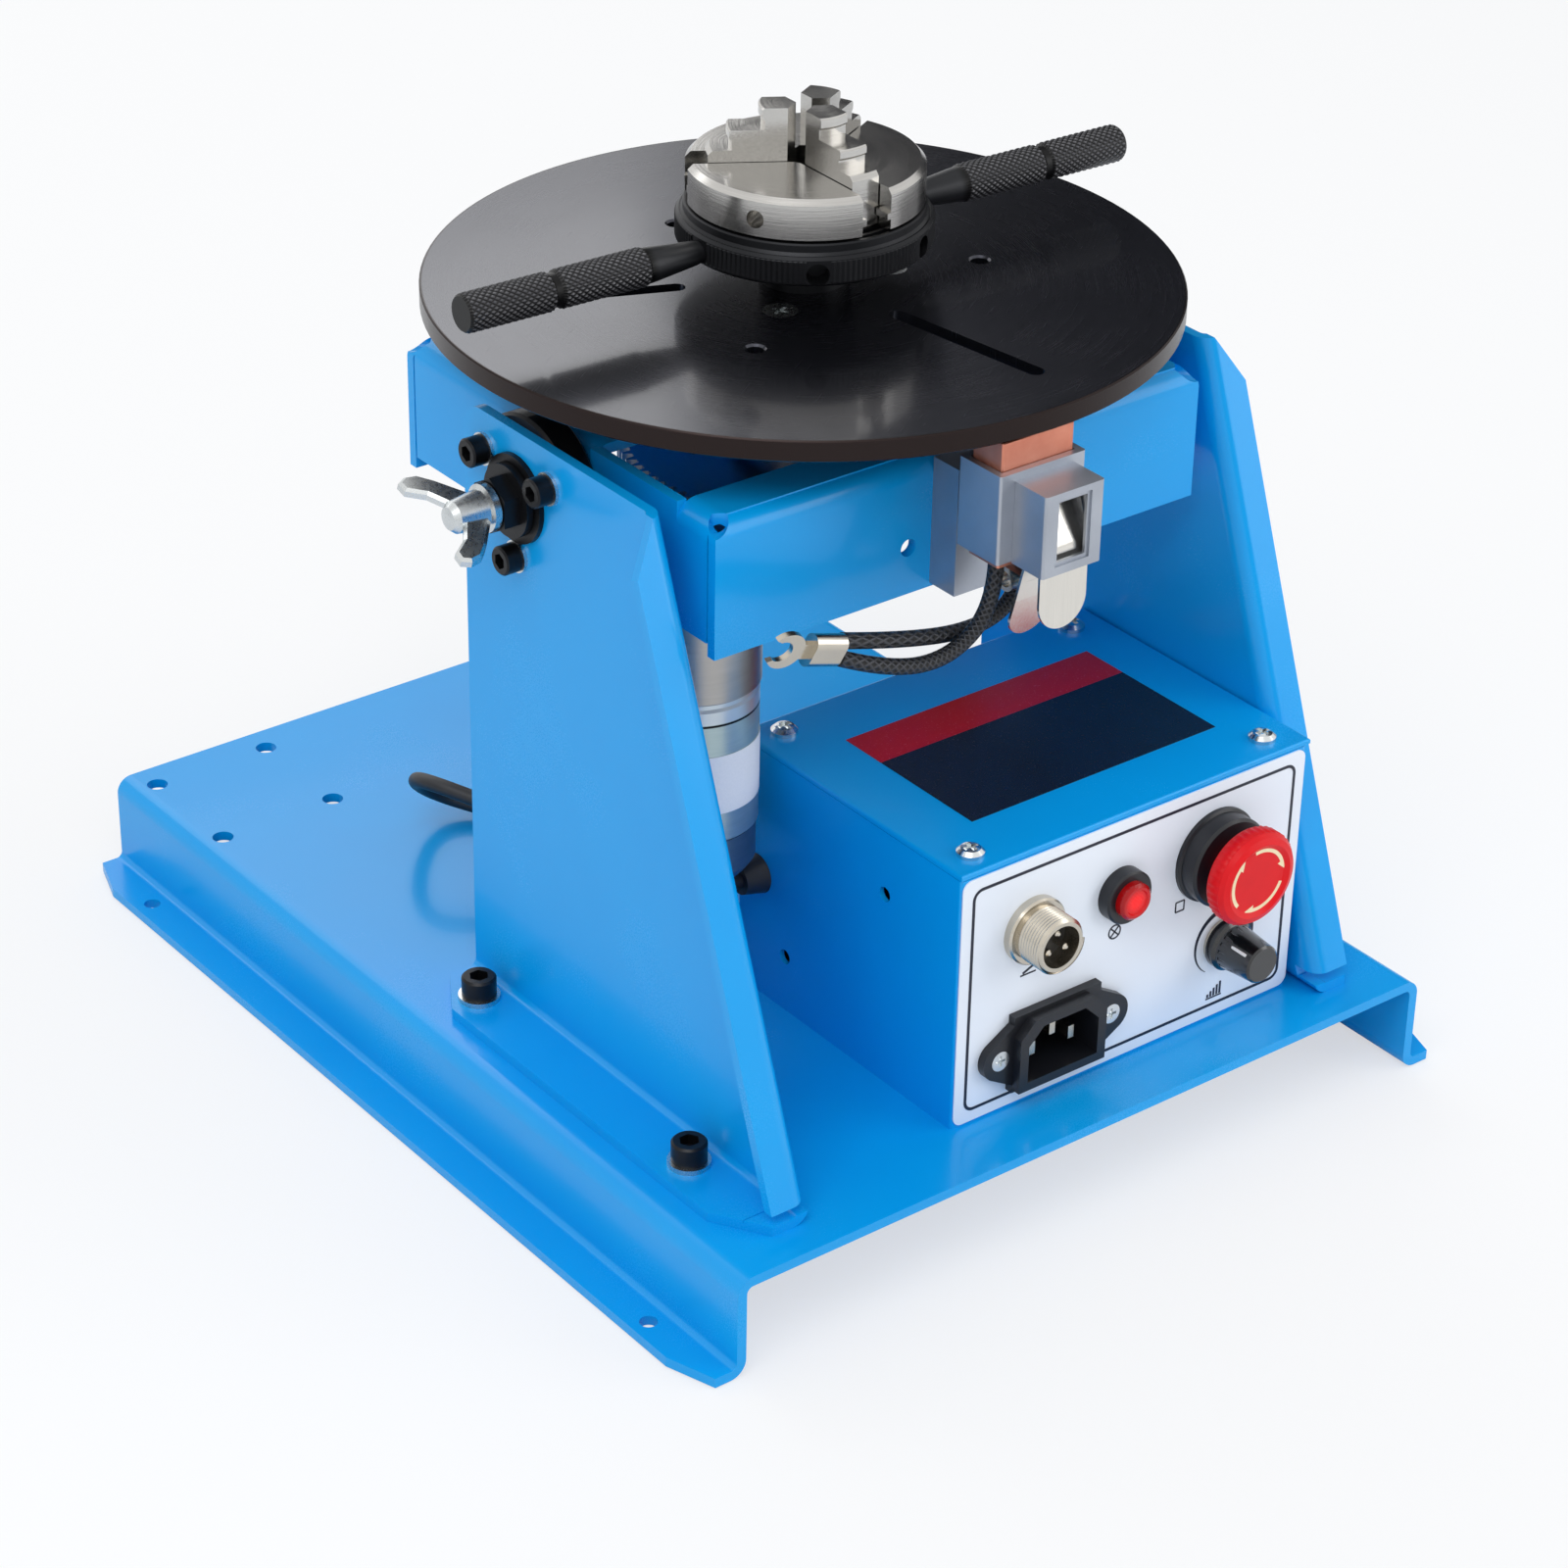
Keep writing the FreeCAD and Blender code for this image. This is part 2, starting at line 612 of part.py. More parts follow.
# ---- tilting tray with pivots, bearing housing and drive ----
def tilt_tray():
    half = sheet / 2
    x_out, y_out, top = tray_half_width, tray_half_depth, tray_top - half
    end_line = [(-y_out + half, tray_front_bottom), (-y_out + half, top), (y_out - half, top),
                (y_out - half, tray_front_bottom)]
    side_line = [(-x_out + half, tray_side_bottom), (-x_out + half, top), (x_out - half, top),
                 (x_out - half, tray_side_bottom)]
    ends = folded(end_line, sheet, tray_bend_radius,
                  lambda p: vector(-x_out, p.x + pivot_y, p.y), x_axis * 2 * x_out)
    inset = sheet + tray_slit
    sides = folded(side_line, sheet, tray_bend_radius,
                   lambda p: vector(p.x, tray_front + inset, p.y), y_axis * 2 * (y_out - inset))
    crown = tray_bend_radius + sheet
    envelope = folded([(side_line[0][0], 0), side_line[1], side_line[2], (side_line[3][0], 0)], sheet,
                      tray_bend_radius, lambda p: vector(p.x, tray_front, p.y), y_axis * 2 * y_out)
    cavity = block((-x_out + sheet, x_out - sheet), (tray_front - 1, tray_rear + 1), (0, tray_top - sheet))
    shoulder = block((-x_out, x_out), (tray_front, tray_rear), (tray_top - crown, tray_top))
    ends_top = ends.common(shoulder)
    ends_low = ends.cut(shoulder)
    ends_top = ends_top.common(envelope.fuse(cavity))
    tray = ends_low.fuse(ends_top).fuse(sides)
    for end in (-1, 1):
        for side in (-1, 1):
            corner = vector(side * x_out, pivot_y + end * y_out, tray_top - sheet * 2 / 3)
            inward = vector(-side, -end, 0).normalize()
            tray = tray.cut(rod(tray_relief, corner - inward * sheet, corner + inward * (sheet + 4)))
    window = rounded_block((-x_out + sheet, window_inner), window_y, (tray_top - 2 * crown, tray_top + 1),
                           window_corner)
    bend_gap = block((-x_out - 1, -x_out + sheet + window_corner), window_y, (tray_top - crown, tray_top + 1))
    lip = block((-x_out, -x_out + sheet), window_y, (tray_top - crown, tray_top))
    tray = tray.cut(window.fuse(bend_gap)).fuse(lip)
    centre = vector(0, pivot_y, tray_top - 2 * sheet)
    up = z_axis * 3 * sheet
    tray = tray.cut(rod(housing_diameter + 0.4, centre, centre + up))
    for angle in housing_screw_angles:
        hole = polar(housing_screw_circle, angle, centre.z, (0, pivot_y))
        tray = tray.cut(rod(tray_screw_hole, hole, hole + up))
    for side in (-1, 1):
        hole = vector(side * (x_out + 2), pivot_y, pivot_z)
        tray = tray.cut(rod(stud_diameter + 0.2, hole, hole - x_axis * side * 3 * sheet))
    hole = vector(tray_hole[0], tray_front - 1, tray_hole[1])
    tray = tray.cut(rod(tray_hole[2], hole, hole + y_axis * 2 * sheet))
    for x in holder_screw_x:
        hole = vector(x, tray_front - 1, holder_screw_z)
        tray = tray.cut(rod(tray_screw_hole, hole, hole + y_axis * 2 * sheet))
    for y in bracket_screw_y:
        hole = vector(-x_out - 1, y, bracket_screw_z)
        tray = tray.cut(rod(tray_screw_hole, hole, hole + x_axis * 2 * sheet))
    return tray.removeSplitter()


def pivot_stud(end_x):
    """Left stud: hexagon head inside the tray, shank to the washer, then the thinner thread."""
    inner = vector(-tray_half_width + sheet, pivot_y, pivot_z)
    shoulder = vector(nut_start, pivot_y, pivot_z)
    body = hexagon(stud_head[0], stud_head[1], inner, x_axis)
    body = body.fuse(rod(stud_diameter, inner, shoulder))
    return body.fuse(rod(stud_thread, shoulder, vector(end_x, pivot_y, pivot_z)))


def wing_nut():
    """Round hub with a domed end and two wings that sweep outwards, in place on the left stud."""
    hub_start = vector(wing_start, pivot_y, pivot_z)
    foot, tip, length = wing_hub
    bore = stud_thread / 2 + fit_gap
    outline = [(bore, 0), (foot / 2 + 1.2, 0), (foot / 2 + 1.2, 2.0), (foot / 2, 2.6),
               (tip / 2 + 0.3, length - 2), (tip / 2 - 1, length - 0.4), (1.4, length),
               (0, length), (0, length - wing_wall), (bore, length - wing_wall)]
    body = turned(outline, hub_start, -x_axis)
    for side in (-1, 1):
        shape = [(2.5, 2.4), (6.0, 3.2), (wing_reach - 4, 9.0), (wing_reach - 0.6, 12.6), (wing_reach, 16.0),
                 (wing_reach - 1.4, 18.6), (wing_reach - 4.6, 18.4), (wing_reach - 8.0, 13.6), (2.5, 9.4)]
        points = [hub_start + vector(-out, side * reach, -1.7) for reach, out in shape]
        wing = prism(points, z_axis * 3.4)
        rims = [e for e in wing.Edges if abs(e.tangentAt(e.FirstParameter).z) < 0.1]
        wing = wing.makeChamfer(0.8, rims)
        body = body.fuse(wing)
    body = body.cut(rod(2 * bore, hub_start + x_axis, hub_start - x_axis * (length - wing_wall)))
    return spun(body, wing_turn, hub_start, x_axis)


def gear_wheel(teeth, thickness, bore, phase, centre):
    """Spur gear with involute flanks, its first tooth at the phase angle."""
    pitch = gear_module * teeth / 2
    root, tip = pitch - 1.2 * gear_module, pitch + 0.95 * gear_module
    pressure = math.radians(20)
    base = pitch * math.cos(pressure)
    half_tooth = (math.pi * gear_module / 2 - gear_backlash) / 2 / pitch
    involute = math.tan(pressure) - pressure
    points = []
    for tooth in range(teeth):
        middle = math.radians(phase) + 2 * math.pi * tooth / teeth
        flank = []
        for radius in (max(base, root + 0.3), pitch, tip):
            roll = math.acos(min(1.0, base / radius))
            flank.append((radius, half_tooth + involute - (math.tan(roll) - roll)))
        foot = (root, flank[0][1] + 0.1 * gear_module / pitch)
        for radius, angle in [foot] + flank:
            points.append((radius, middle - angle))
        for radius, angle in reversed([foot] + flank):
            points.append((radius, middle + angle))
    ring = [centre + vector(r * math.cos(a), r * math.sin(a), 0) for r, a in points]
    return prism(ring, z_axis * thickness).cut(rod(bore, centre, centre + z_axis * thickness))


def bearing_ring(z):
    seat = vector(0, pivot_y, z)
    return washer(bearing[1], bearing[0] + 2 * fit_gap, bearing[2], seat, z_axis)


def bearing_housing():
    rim, thickness = housing_flange
    top = tray_top + thickness
    outline = [(bearing[0] / 2 + 2, housing_bottom), (housing_diameter / 2, housing_bottom),
               (housing_diameter / 2, tray_top), (rim / 2, tray_top), (rim / 2, top - 1), (rim / 2 - 1, top),
               (bearing[1] / 2, top), (bearing[1] / 2, top - bearing[2]),
               (bearing[1] / 2 - 2, top - bearing[2]), (bearing[1] / 2 - 2, housing_bottom + 1 + bearing[2]),
               (bearing[1] / 2, housing_bottom + 1 + bearing[2]), (bearing[1] / 2, housing_bottom + 1),
               (bearing[0] / 2 + 2, housing_bottom + 1)]
    body = turned(outline, vector(0, pivot_y, 0))
    seat_width, seat_depth = housing_counterbore
    for angle in housing_screw_angles:
        hole = polar(housing_screw_circle, angle, tray_top - 1, (0, pivot_y))
        above = vector(hole.x, hole.y, top + 1)
        body = body.cut(rod(tray_screw_hole, hole, above))
        body = body.cut(rod(seat_width, above - z_axis * (seat_depth + 1), above))
    return body


def housing_screws():
    screws = []
    for angle in housing_screw_angles:
        level = tray_top + housing_flange[1] - housing_counterbore[1]
        seat = polar(housing_screw_circle, angle, level, (0, pivot_y))
        head = socket_screw(*housing_screw, seat, z_axis)
        nut = hexagon(*housing_nut, vector(seat.x, seat.y, tray_top - sheet - housing_nut[1]), z_axis)
        screws.append(head.fuse(nut))
    return screws


def motor_bracket():
    left = -tray_half_width + sheet
    half = bracket_sheet / 2
    line = [(bracket_right, gearbox_top + half), (left + half, gearbox_top + half),
            (left + half, gearbox_top + bracket_height)]
    depth = bracket_y[1] - bracket_y[0]
    bracket = folded(line, bracket_sheet, 1.5, lambda p: vector(p.x, bracket_y[0], p.y), y_axis * depth)
    shaft = vector(motor_x, motor_y, gearbox_top - 1)
    through = z_axis * (bracket_sheet + 2)
    bracket = bracket.cut(rod(gearbox_boss + 0.4, shaft, shaft + through))
    for angle in gearbox_screw_angles:
        hole = polar(gearbox_screw_circle, angle, gearbox_top - 1, (motor_x, motor_y))
        bracket = bracket.cut(rod(gearbox_screw[2] + 0.3, hole, hole + through))
    for y in bracket_screw_y:
        hole = vector(left - 1, y, bracket_screw_z)
        bracket = bracket.cut(rod(tray_screw_hole, hole, hole + x_axis * 2 * bracket_sheet))
    return bracket


def bracket_screws():
    screws = []
    for y in bracket_screw_y:
        seat = vector(-tray_half_width, y, bracket_screw_z)
        head = cross_screw(*bracket_screw, sheet + bracket_sheet + housing_nut[1] + 0.8, seat, -x_axis)
        nut = hexagon(*housing_nut, seat + x_axis * (sheet + bracket_sheet), x_axis)
        screws.append(head.fuse(nut))
    return screws


def gear_motor():
    axis = vector(motor_x, motor_y, 0)
    bottom = gearbox_top - gearbox_length
    r = gearbox_diameter / 2
    gearbox = turned([(0, bottom), (r - 0.6, bottom), (r, bottom + 0.6), (r, gearbox_top - 0.6),
                      (r - 0.6, gearbox_top), (gearbox_boss / 2, gearbox_top),
                      (gearbox_boss / 2, gearbox_top + bracket_sheet), (0, gearbox_top + bracket_sheet)], axis)
    for angle in gearbox_screw_angles:
        hole = polar(gearbox_screw_circle, angle, gearbox_top - gearbox_screw_depth, (motor_x, motor_y))
        gearbox = gearbox.cut(rod(gearbox_screw[2], hole, hole + z_axis * (gearbox_screw_depth + 1)))
    can_top = bottom - motor_neck[1]
    can_bottom = can_top - can_length
    can = turned([(0, can_bottom), (can_diameter / 2 - 0.8, can_bottom), (can_diameter / 2, can_bottom + 0.8),
                  (can_diameter / 2, can_top - 0.8), (can_diameter / 2 - 0.8, can_top),
                  (motor_neck[0] / 2, can_top), (motor_neck[0] / 2, bottom), (0, bottom)], axis)
    step = can_bottom - cap_length
    cap = turned([(0, step - cap_taper[1]), (cap_taper[0] / 2, step - cap_taper[1]),
                  (cap_diameter / 2 - 1.6, step - 1.6), (cap_diameter / 2, step + 0.8),
                  (cap_diameter / 2, can_bottom), (0, can_bottom)], axis)
    return gearbox, can, cap


def gearbox_screws():
    screws = []
    for angle in gearbox_screw_angles:
        seat = polar(gearbox_screw_circle, angle, gearbox_top + bracket_sheet, (motor_x, motor_y))
        screws.append(cross_screw(*gearbox_screw, bracket_sheet + gearbox_screw_depth - 0.5, seat, z_axis))
    return screws


def pinion():
    centre = vector(motor_x, motor_y, gear_bottom)
    mesh = math.degrees(math.atan2(pivot_y - motor_y, -motor_x))
    wheel = gear_wheel(pinion_teeth, gear_face, motor_shaft - 1, mesh, centre)
    collar_foot = gearbox_top + bracket_sheet + 2 * running_gap
    shaft = rod(motor_shaft, vector(motor_x, motor_y, gearbox_top + bracket_sheet + running_gap),
                vector(motor_x, motor_y, gear_bottom + gear_face + 1.5))
    collar = rod(pinion_collar, vector(motor_x, motor_y, collar_foot), vector(motor_x, motor_y, gear_bottom))
    return wheel.fuse(shaft).fuse(collar)


left_stud = pivot_stud(wing_start - wing_hub[2] + wing_wall + 0.5)
right_stud = mirrored(pivot_stud(nut_start - lock_nut_size[1] - 1.5))
clamp_place = vector(-clamp_stack, pivot_y, pivot_z)
left_clamp = washer(clamp_washer[0], stud_diameter + 0.2, clamp_washer[1], clamp_place, -x_axis)
nut_place = vector(nut_start, pivot_y, pivot_z)
flats_nut = hexagon(clamp_nut[0], clamp_nut[1], nut_place, -x_axis)
flats_nut = flats_nut.cut(rod(stud_thread, nut_place + x_axis, nut_place - x_axis * 9))
lock_nut = hexagon(lock_nut_size[0], lock_nut_size[1], nut_place, -x_axis)
lock_nut = lock_nut.cut(rod(stud_thread, nut_place + x_axis, nut_place - x_axis * 9))
gearbox, motor_can, motor_cap = gear_motor()
save("tilt_tray", tilt_tray())
save("pivot_studs", left_stud, right_stud)
save("flat_washers", *bolt_washers, *left_washers, *[mirrored(w) for w in left_washers])
save("stud_nuts", flats_nut, left_clamp, mirrored(lock_nut), mirrored(left_clamp))
save("wing_nut", wing_nut())
save("bearing_housing", bearing_housing())
housing_top = tray_top + housing_flange[1]
save("spindle_bearings", bearing_ring(housing_bottom + 1), bearing_ring(housing_top - bearing[2]))
save("motor_bracket", motor_bracket())
save("gearbox", gearbox)
save("motor_can", motor_can)
save("motor_end_cap", motor_cap)
save("motor_pinion", pinion())


# ---- contact brush under the turntable ----
def brush_holder():
    left, right = brush_left, brush_left + brush_width
    back = brush_front + brush_depth
    wall, gap = holder_wall, brush_clearance
    post = block((post_x[0], post_x[1]), (tray_front - post_depth, tray_front), (post_bottom, post_top))
    web = block((post_x[0] + holder_post_lip, post_x[1] - holder_post_lip),
                (back + wall, tray_front - post_depth + 1), (web_bottom, post_top))
    outer = rounded_block((left - wall, right + wall), (brush_front - wall, back + wall),
                          (holder_bottom, holder_top), 0.8)
    body = post.fuse(web).fuse(outer)
    body = body.cut(block((left - gap, right + gap), (brush_front - gap, back + gap),
                          (holder_bottom - 1, holder_top + 1)))
    width, depth, height = spring_box
    skin = spring_wall
    middle = (left + right) / 2 + spring_box_shift
    front = brush_front - wall
    low = holder_bottom - 0.4
    housing = rounded_block((middle - width / 2, middle + width / 2), (front - depth, front + 0.5),
                            (low, low + height), 0.8)
    pocket = block((middle - width / 2 + skin, middle + width / 2 - skin), (front - depth + skin, front + 1),
                   (low - 1, low + height - skin))
    window = block((spring_window_x[0], spring_window_x[1]), (front - depth - 1, front - depth + skin + 1),
                   (spring_window_z[0], spring_window_z[1]))
    rim = block((spring_window_x[0] - 1, spring_window_x[1] + 1), (front - depth - 1, front - depth + 0.6),
                (spring_window_z[0] - 1, spring_window_z[1] + 1))
    body = body.fuse(housing.cut(pocket).cut(window).cut(rim))
    for x in holder_screw_x:
        hole = vector(x, tray_front + 1, holder_screw_z)
        body = body.cut(rod(holder_screw[2], hole, hole - y_axis * (holder_screw_depth + 2)))
    return body.removeSplitter()


def spring_blade(line, x, width, round_end):
    """A bent strip whose middle line lies in the YZ plane; the last end is rounded."""
    start = x - width / 2
    strip = folded(line, blade_thickness, blade_bend, lambda p: vector(start, p.x, p.y), x_axis * width)
    end = line[-1]
    radius = width / 2
    front, back = min(y for y, z in line) - width, max(y for y, z in line) + width
    plan = block((x - width / 2, x + width / 2), (front, back), (end[1] + radius, line[0][1] + width))
    tip = rod(width, vector(x, front, end[1] + radius), vector(x, back, end[1] + radius))
    return strip.common(plan.fuse(tip)) if round_end else strip


def holder_screws():
    screws = []
    for x in holder_screw_x:
        seat = vector(x, tray_front + sheet, holder_screw_z)
        screws.append(cross_screw(*holder_screw, sheet + holder_screw_depth, seat, y_axis))
    return screws


def fork_lug():
    """Fork terminal: oval crimp barrel round both braids, neck and two curved prongs."""
    forward = (vector(*lug_tip) - vector(*lug_mouth)).normalize()
    across = vector(*lug_across)
    across = (across - forward * across.dot(forward)).normalize()
    up = forward.cross(across)
    place = FreeCAD.Placement(vector(*lug_mouth), FreeCAD.Rotation(forward, across, up, "XYZ"))
    length, wide, thick, wall = lug_barrel
    barrel = rounded_block((-wide / 2, wide / 2), (-thick / 2, thick / 2), (0, length), thick / 2 - 0.01)
    barrel.Placement = FreeCAD.Placement(vector(), FreeCAD.Rotation(y_axis, z_axis, x_axis, "XYZ"))
    floor = block((length - wall, length), (-wide / 2 + 1, wide / 2 - 1), (-thick / 2 + 0.6, thick / 2 - 0.6))
    neck = block((length - 1, length + 3), (-2.4, 2.4), (-0.8, 0.8))
    ring_centre = length + 2.0 + fork_outer
    fork = rod(2 * fork_outer, vector(ring_centre, 0, -0.8), vector(ring_centre, 0, 0.8))
    throat = rod(2 * fork_inner, vector(ring_centre + 1.4, 0, -2), vector(ring_centre + 1.4, 0, 2))
    mouth = prism([vector(ring_centre + 1, -2.2, -2), vector(ring_centre + 9, -5.2, -2),
                   vector(ring_centre + 9, 5.2, -2), vector(ring_centre + 1, 2.2, -2)], z_axis * 4)
    fork = fork.fuse(neck).cut(throat.fuse(mouth))
    lug = barrel.fuse(floor).fuse(fork)
    lug.Placement = place
    return lug


def tube(points, diameter, name):
    """Straight runs joined by tangent arcs; prints each arc's radius."""
    corners = [vector(*p) for p in points]
    edges, radii = [], []
    here = corners[0]
    for before, corner, after in zip(corners, corners[1:], corners[2:]):
        going, leaving = corner - before, after - corner
        half = going.getAngle(leaving) / 2
        reach = 0.45 * min(going.Length, leaving.Length)
        radii.append(round(reach / math.tan(half), 1))
        going.normalize()
        leaving.normalize()
        entry, leave = corner - going * reach, corner + leaving * reach
        middle = corner + (leaving - going).normalize() * (reach / math.tan(half) * (1 / math.cos(half) - 1))
        edges.append(Part.makeLine(here, entry))
        edges.append(Part.Arc(entry, middle, leave).toShape())
        here = leave
    edges.append(Part.makeLine(here, corners[-1]))
    spine = Part.Wire(edges)
    circle = Part.Wire(Part.makeCircle(diameter / 2, corners[0], corners[1] - corners[0]))
    print(name, "length", round(spine.Length), "arc radii", radii)
    return spine.makePipeShell([circle], True, False)



copper = block((brush_left, brush_left + brush_width), (brush_front, brush_front + brush_depth),
               (brush_bottom, table_bottom - running_gap))
copper = copper.makeChamfer(0.5, [e for e in copper.Edges if abs(e.tangentAt(e.FirstParameter).z) > 0.9])
roll_end = vector(brush_roll[0] - brush_roll[4] / 2, brush_roll[1], brush_roll[2])
roll = rod(brush_roll[3], roll_end, roll_end + x_axis * brush_roll[4])
roll = roll.cut(rod(brush_roll[3] - 2.4, roll_end, roll_end + x_axis * brush_roll[4]))
tail_z = brush_roll[2] + brush_roll[3] / 2
tail = block((roll_end.x, roll_end.x + brush_roll[4]), (roll_tail_y, brush_roll[1]),
             (tail_z - blade_thickness, tail_z))
save("brush_holder", brush_holder())
save("tray_screws", *housing_screws(), *bracket_screws(), *gearbox_screws(), *holder_screws())
front_blade = spring_blade(front_blade_line, blade_x, blade_width, True)
rear_blade = spring_blade(rear_blade_line, blade_x, blade_width - 2.4, True)
save("spring_blades", front_blade, rear_blade.fuse(tail.fuse(roll)))
save("copper_brush", copper)
save("front_braid", tube(braid_front, braid_diameter, "front braid"))
save("rear_braid", tube(braid_rear, braid_diameter, "rear braid"))
save("fork_lug", fork_lug())


# ---- turntable, spindle and scroll chuck ----
def turntable():
    centre = vector(0, pivot_y, table_bottom)
    table = rod(table_diameter, centre, centre + z_axis * table_thickness)
    table = table.makeChamfer(0.4, [e for e in table.Edges if e.Length > 3 * table_diameter])
    through = z_axis * (table_thickness + 2)
    table = table.cut(rod(spigot_diameter, centre - z_axis, centre - z_axis + through))
    inner, outer, width = table_slot
    for k in range(3):
        angle = table_phase + 120 * k
        hole = polar(table_thread_circle, angle, table_bottom - 1, (0, pivot_y))
        table = table.cut(rod(table_thread_diameter, hole, hole + through))
        rim = vector(hole.x, hole.y, table_top - 0.6)
        table = table.cut(cone(table_thread_diameter, table_thread_diameter + 1.6, rim, rim + z_axis * 0.8))
        seat = polar(table_screw_circle, angle, table_bottom - 1, (0, pivot_y))
        table = table.cut(rod(table_screw_shank, seat, seat + through))
        sink = vector(seat.x, seat.y, table_top - countersink_depth)
        table = table.cut(cone(table_screw_shank, table_screw_head, sink, sink + z_axis * countersink_depth))
        slot = block((inner, outer), (-width / 2, width / 2), (table_bottom - 1, table_top + 1))
        for end in (inner, outer):
            slot = slot.fuse(rod(width, vector(end, 0, table_bottom - 1), vector(end, 0, table_top + 1)))
        slot = moved(spun(slot, angle + 60), y=pivot_y)
        table = table.cut(slot)
    return table


def table_screws():
    screws = []
    for k in range(3):
        seat = polar(table_screw_circle, table_phase + 120 * k, table_top, (0, pivot_y))
        head = cone(table_screw_shank, table_screw_head, seat - z_axis * countersink_depth, seat)
        shank_end = seat - z_axis * table_screw_length
        body = head.fuse(rod(table_screw_shank, shank_end, seat - z_axis * countersink_depth))
        for across in ((2.4, 0.5), (0.5, 2.4)):
            cut = block((-across[0], across[0]), (-across[1], across[1]), (-1.2, 1))
            cut.Placement = FreeCAD.Placement(seat, FreeCAD.Rotation(z_axis, 20))
            body = body.cut(cut)
        screws.append(body)
    return screws


def spindle():
    rim, thickness = spindle_flange
    r = spindle_diameter / 2
    bore = through_bore / 2
    low = table_bottom - thickness
    shoulder = tray_top + housing_flange[1] + running_gap
    outline = [(bore, gear_bottom - spindle_nut[1] - 0.6), (r - 0.6, gear_bottom - spindle_nut[1] - 0.6),
               (r, gear_bottom - spindle_nut[1]), (r, shoulder), (r + 2.5, shoulder), (r + 2.5, low),
               (rim / 2 - 1, low), (rim / 2, low + 1), (rim / 2, table_bottom),
               (spigot_diameter / 2, table_bottom), (spigot_diameter / 2, table_bottom - spigot_depth),
               (bore, table_bottom - spigot_depth)]
    body = turned(outline, vector(0, pivot_y, 0))
    for k in range(3):
        hole = polar(table_screw_circle, table_phase + 120 * k, table_top - table_screw_length, (0, pivot_y))
        body = body.cut(rod(table_screw_shank, hole - z_axis, hole + z_axis * table_screw_length))
    return body


def spindle_gear():
    centre = vector(0, pivot_y, gear_bottom)
    mesh = math.degrees(math.atan2(motor_y - pivot_y, motor_x))
    bore = spindle_diameter + 2 * fit_gap
    wheel = gear_wheel(gear_teeth, gear_face, bore, mesh + 180.0 / gear_teeth, centre)
    hub_top = vector(0, pivot_y, housing_bottom + 1 - running_gap)
    hub = rod(spindle_diameter + 3, centre, hub_top).cut(rod(bore, centre, hub_top))
    groove = washer(gear_web[1], gear_web[0], gear_web[2], centre + z_axis * gear_face, -z_axis)
    groove = groove.fuse(washer(gear_web[1], gear_web[0], gear_web[2], centre, z_axis))
    return wheel.cut(groove).fuse(hub)


def chuck_adapter():
    bore = through_bore / 2
    neck, spigot = adapter_neck / 2, spigot_diameter / 2 - fit_gap
    flange = adapter_flange[0] / 2
    top = ring_bottom - running_gap
    outline = [(bore, table_bottom - spigot_depth + 0.3), (spigot, table_bottom - spigot_depth + 0.3),
               (spigot, table_top), (neck, table_top), (neck, top - adapter_flange[1]),
               (flange, top - adapter_flange[1]), (flange, top), (spigot, top),
               (spigot, top + 4), (bore, top + 4)]
    return turned(outline, vector(0, pivot_y, 0))


def chuck_body():
    r, hub, spigot = chuck_diameter / 2, hub_diameter / 2, spigot_diameter / 2
    low = ring_bottom - running_gap
    outline = [(spigot, low), (hub, low), (hub, chuck_bottom), (r - 0.5, chuck_bottom), (r, chuck_bottom + 0.5),
               (r, chuck_top - 1.5), (r - 1.5, chuck_top), (chuck_bore / 2, chuck_top),
               (chuck_bore / 2, low + 4), (spigot, low + 4)]
    body = turned(outline, vector())
    half = jaw_width / 2 + jaw_clearance
    thick, reach = jaw_tongue[1:]
    for k in range(3):
        slot = block((0, r + 1), (-half, half), (chuck_bottom, chuck_top + 1))
        for side in (-1, 1):
            inner, outer = sorted((side * (half - reach), side * (half + 1)))
            rib = (tongue_level - thick / 2, tongue_level + thick / 2)
            slot = slot.cut(block((0, r + 1), (inner, outer), rib))
        body = body.cut(spun(slot, jaw_phase + 120 * k))
        hole = polar(r + 1, jaw_phase + 60 + 120 * k, tongue_level + 1)
        inward = vector(-hole.x, -hole.y, 0).normalize()
        body = body.cut(rod(side_hole[0], hole, hole + inward * (side_hole[1] + 1)))
    return moved(body, y=pivot_y)


def spiral(offset):
    """Points of one edge of the scroll ridge, winding inwards by the pitch each turn."""
    turns = (scroll_outer - scroll_inner) / scroll_pitch
    count = int(turns * 24)
    points = []
    for i in range(count + 1):
        angle = 2 * math.pi * turns * i / count
        radius = scroll_outer - scroll_pitch * angle / (2 * math.pi) + offset
        points.append(vector(radius * math.cos(angle), radius * math.sin(angle), 0))
    return points


def scroll_ridge():
    edges = []
    ends = []
    for offset in (scroll_ridge_width / 2, -scroll_ridge_width / 2):
        points = spiral(offset)
        curve = Part.BSplineCurve()
        curve.interpolate(points)
        edges.append(curve.toShape())
        ends.append((points[0], points[-1]))
    edges.append(Part.makeLine(ends[0][0], ends[1][0]))
    edges.append(Part.makeLine(ends[0][1], ends[1][1]))
    wire = Part.Wire(Part.__sortEdges__(edges))
    return Part.Face(wire).extrude(z_axis * (scroll_depth + 0.5))


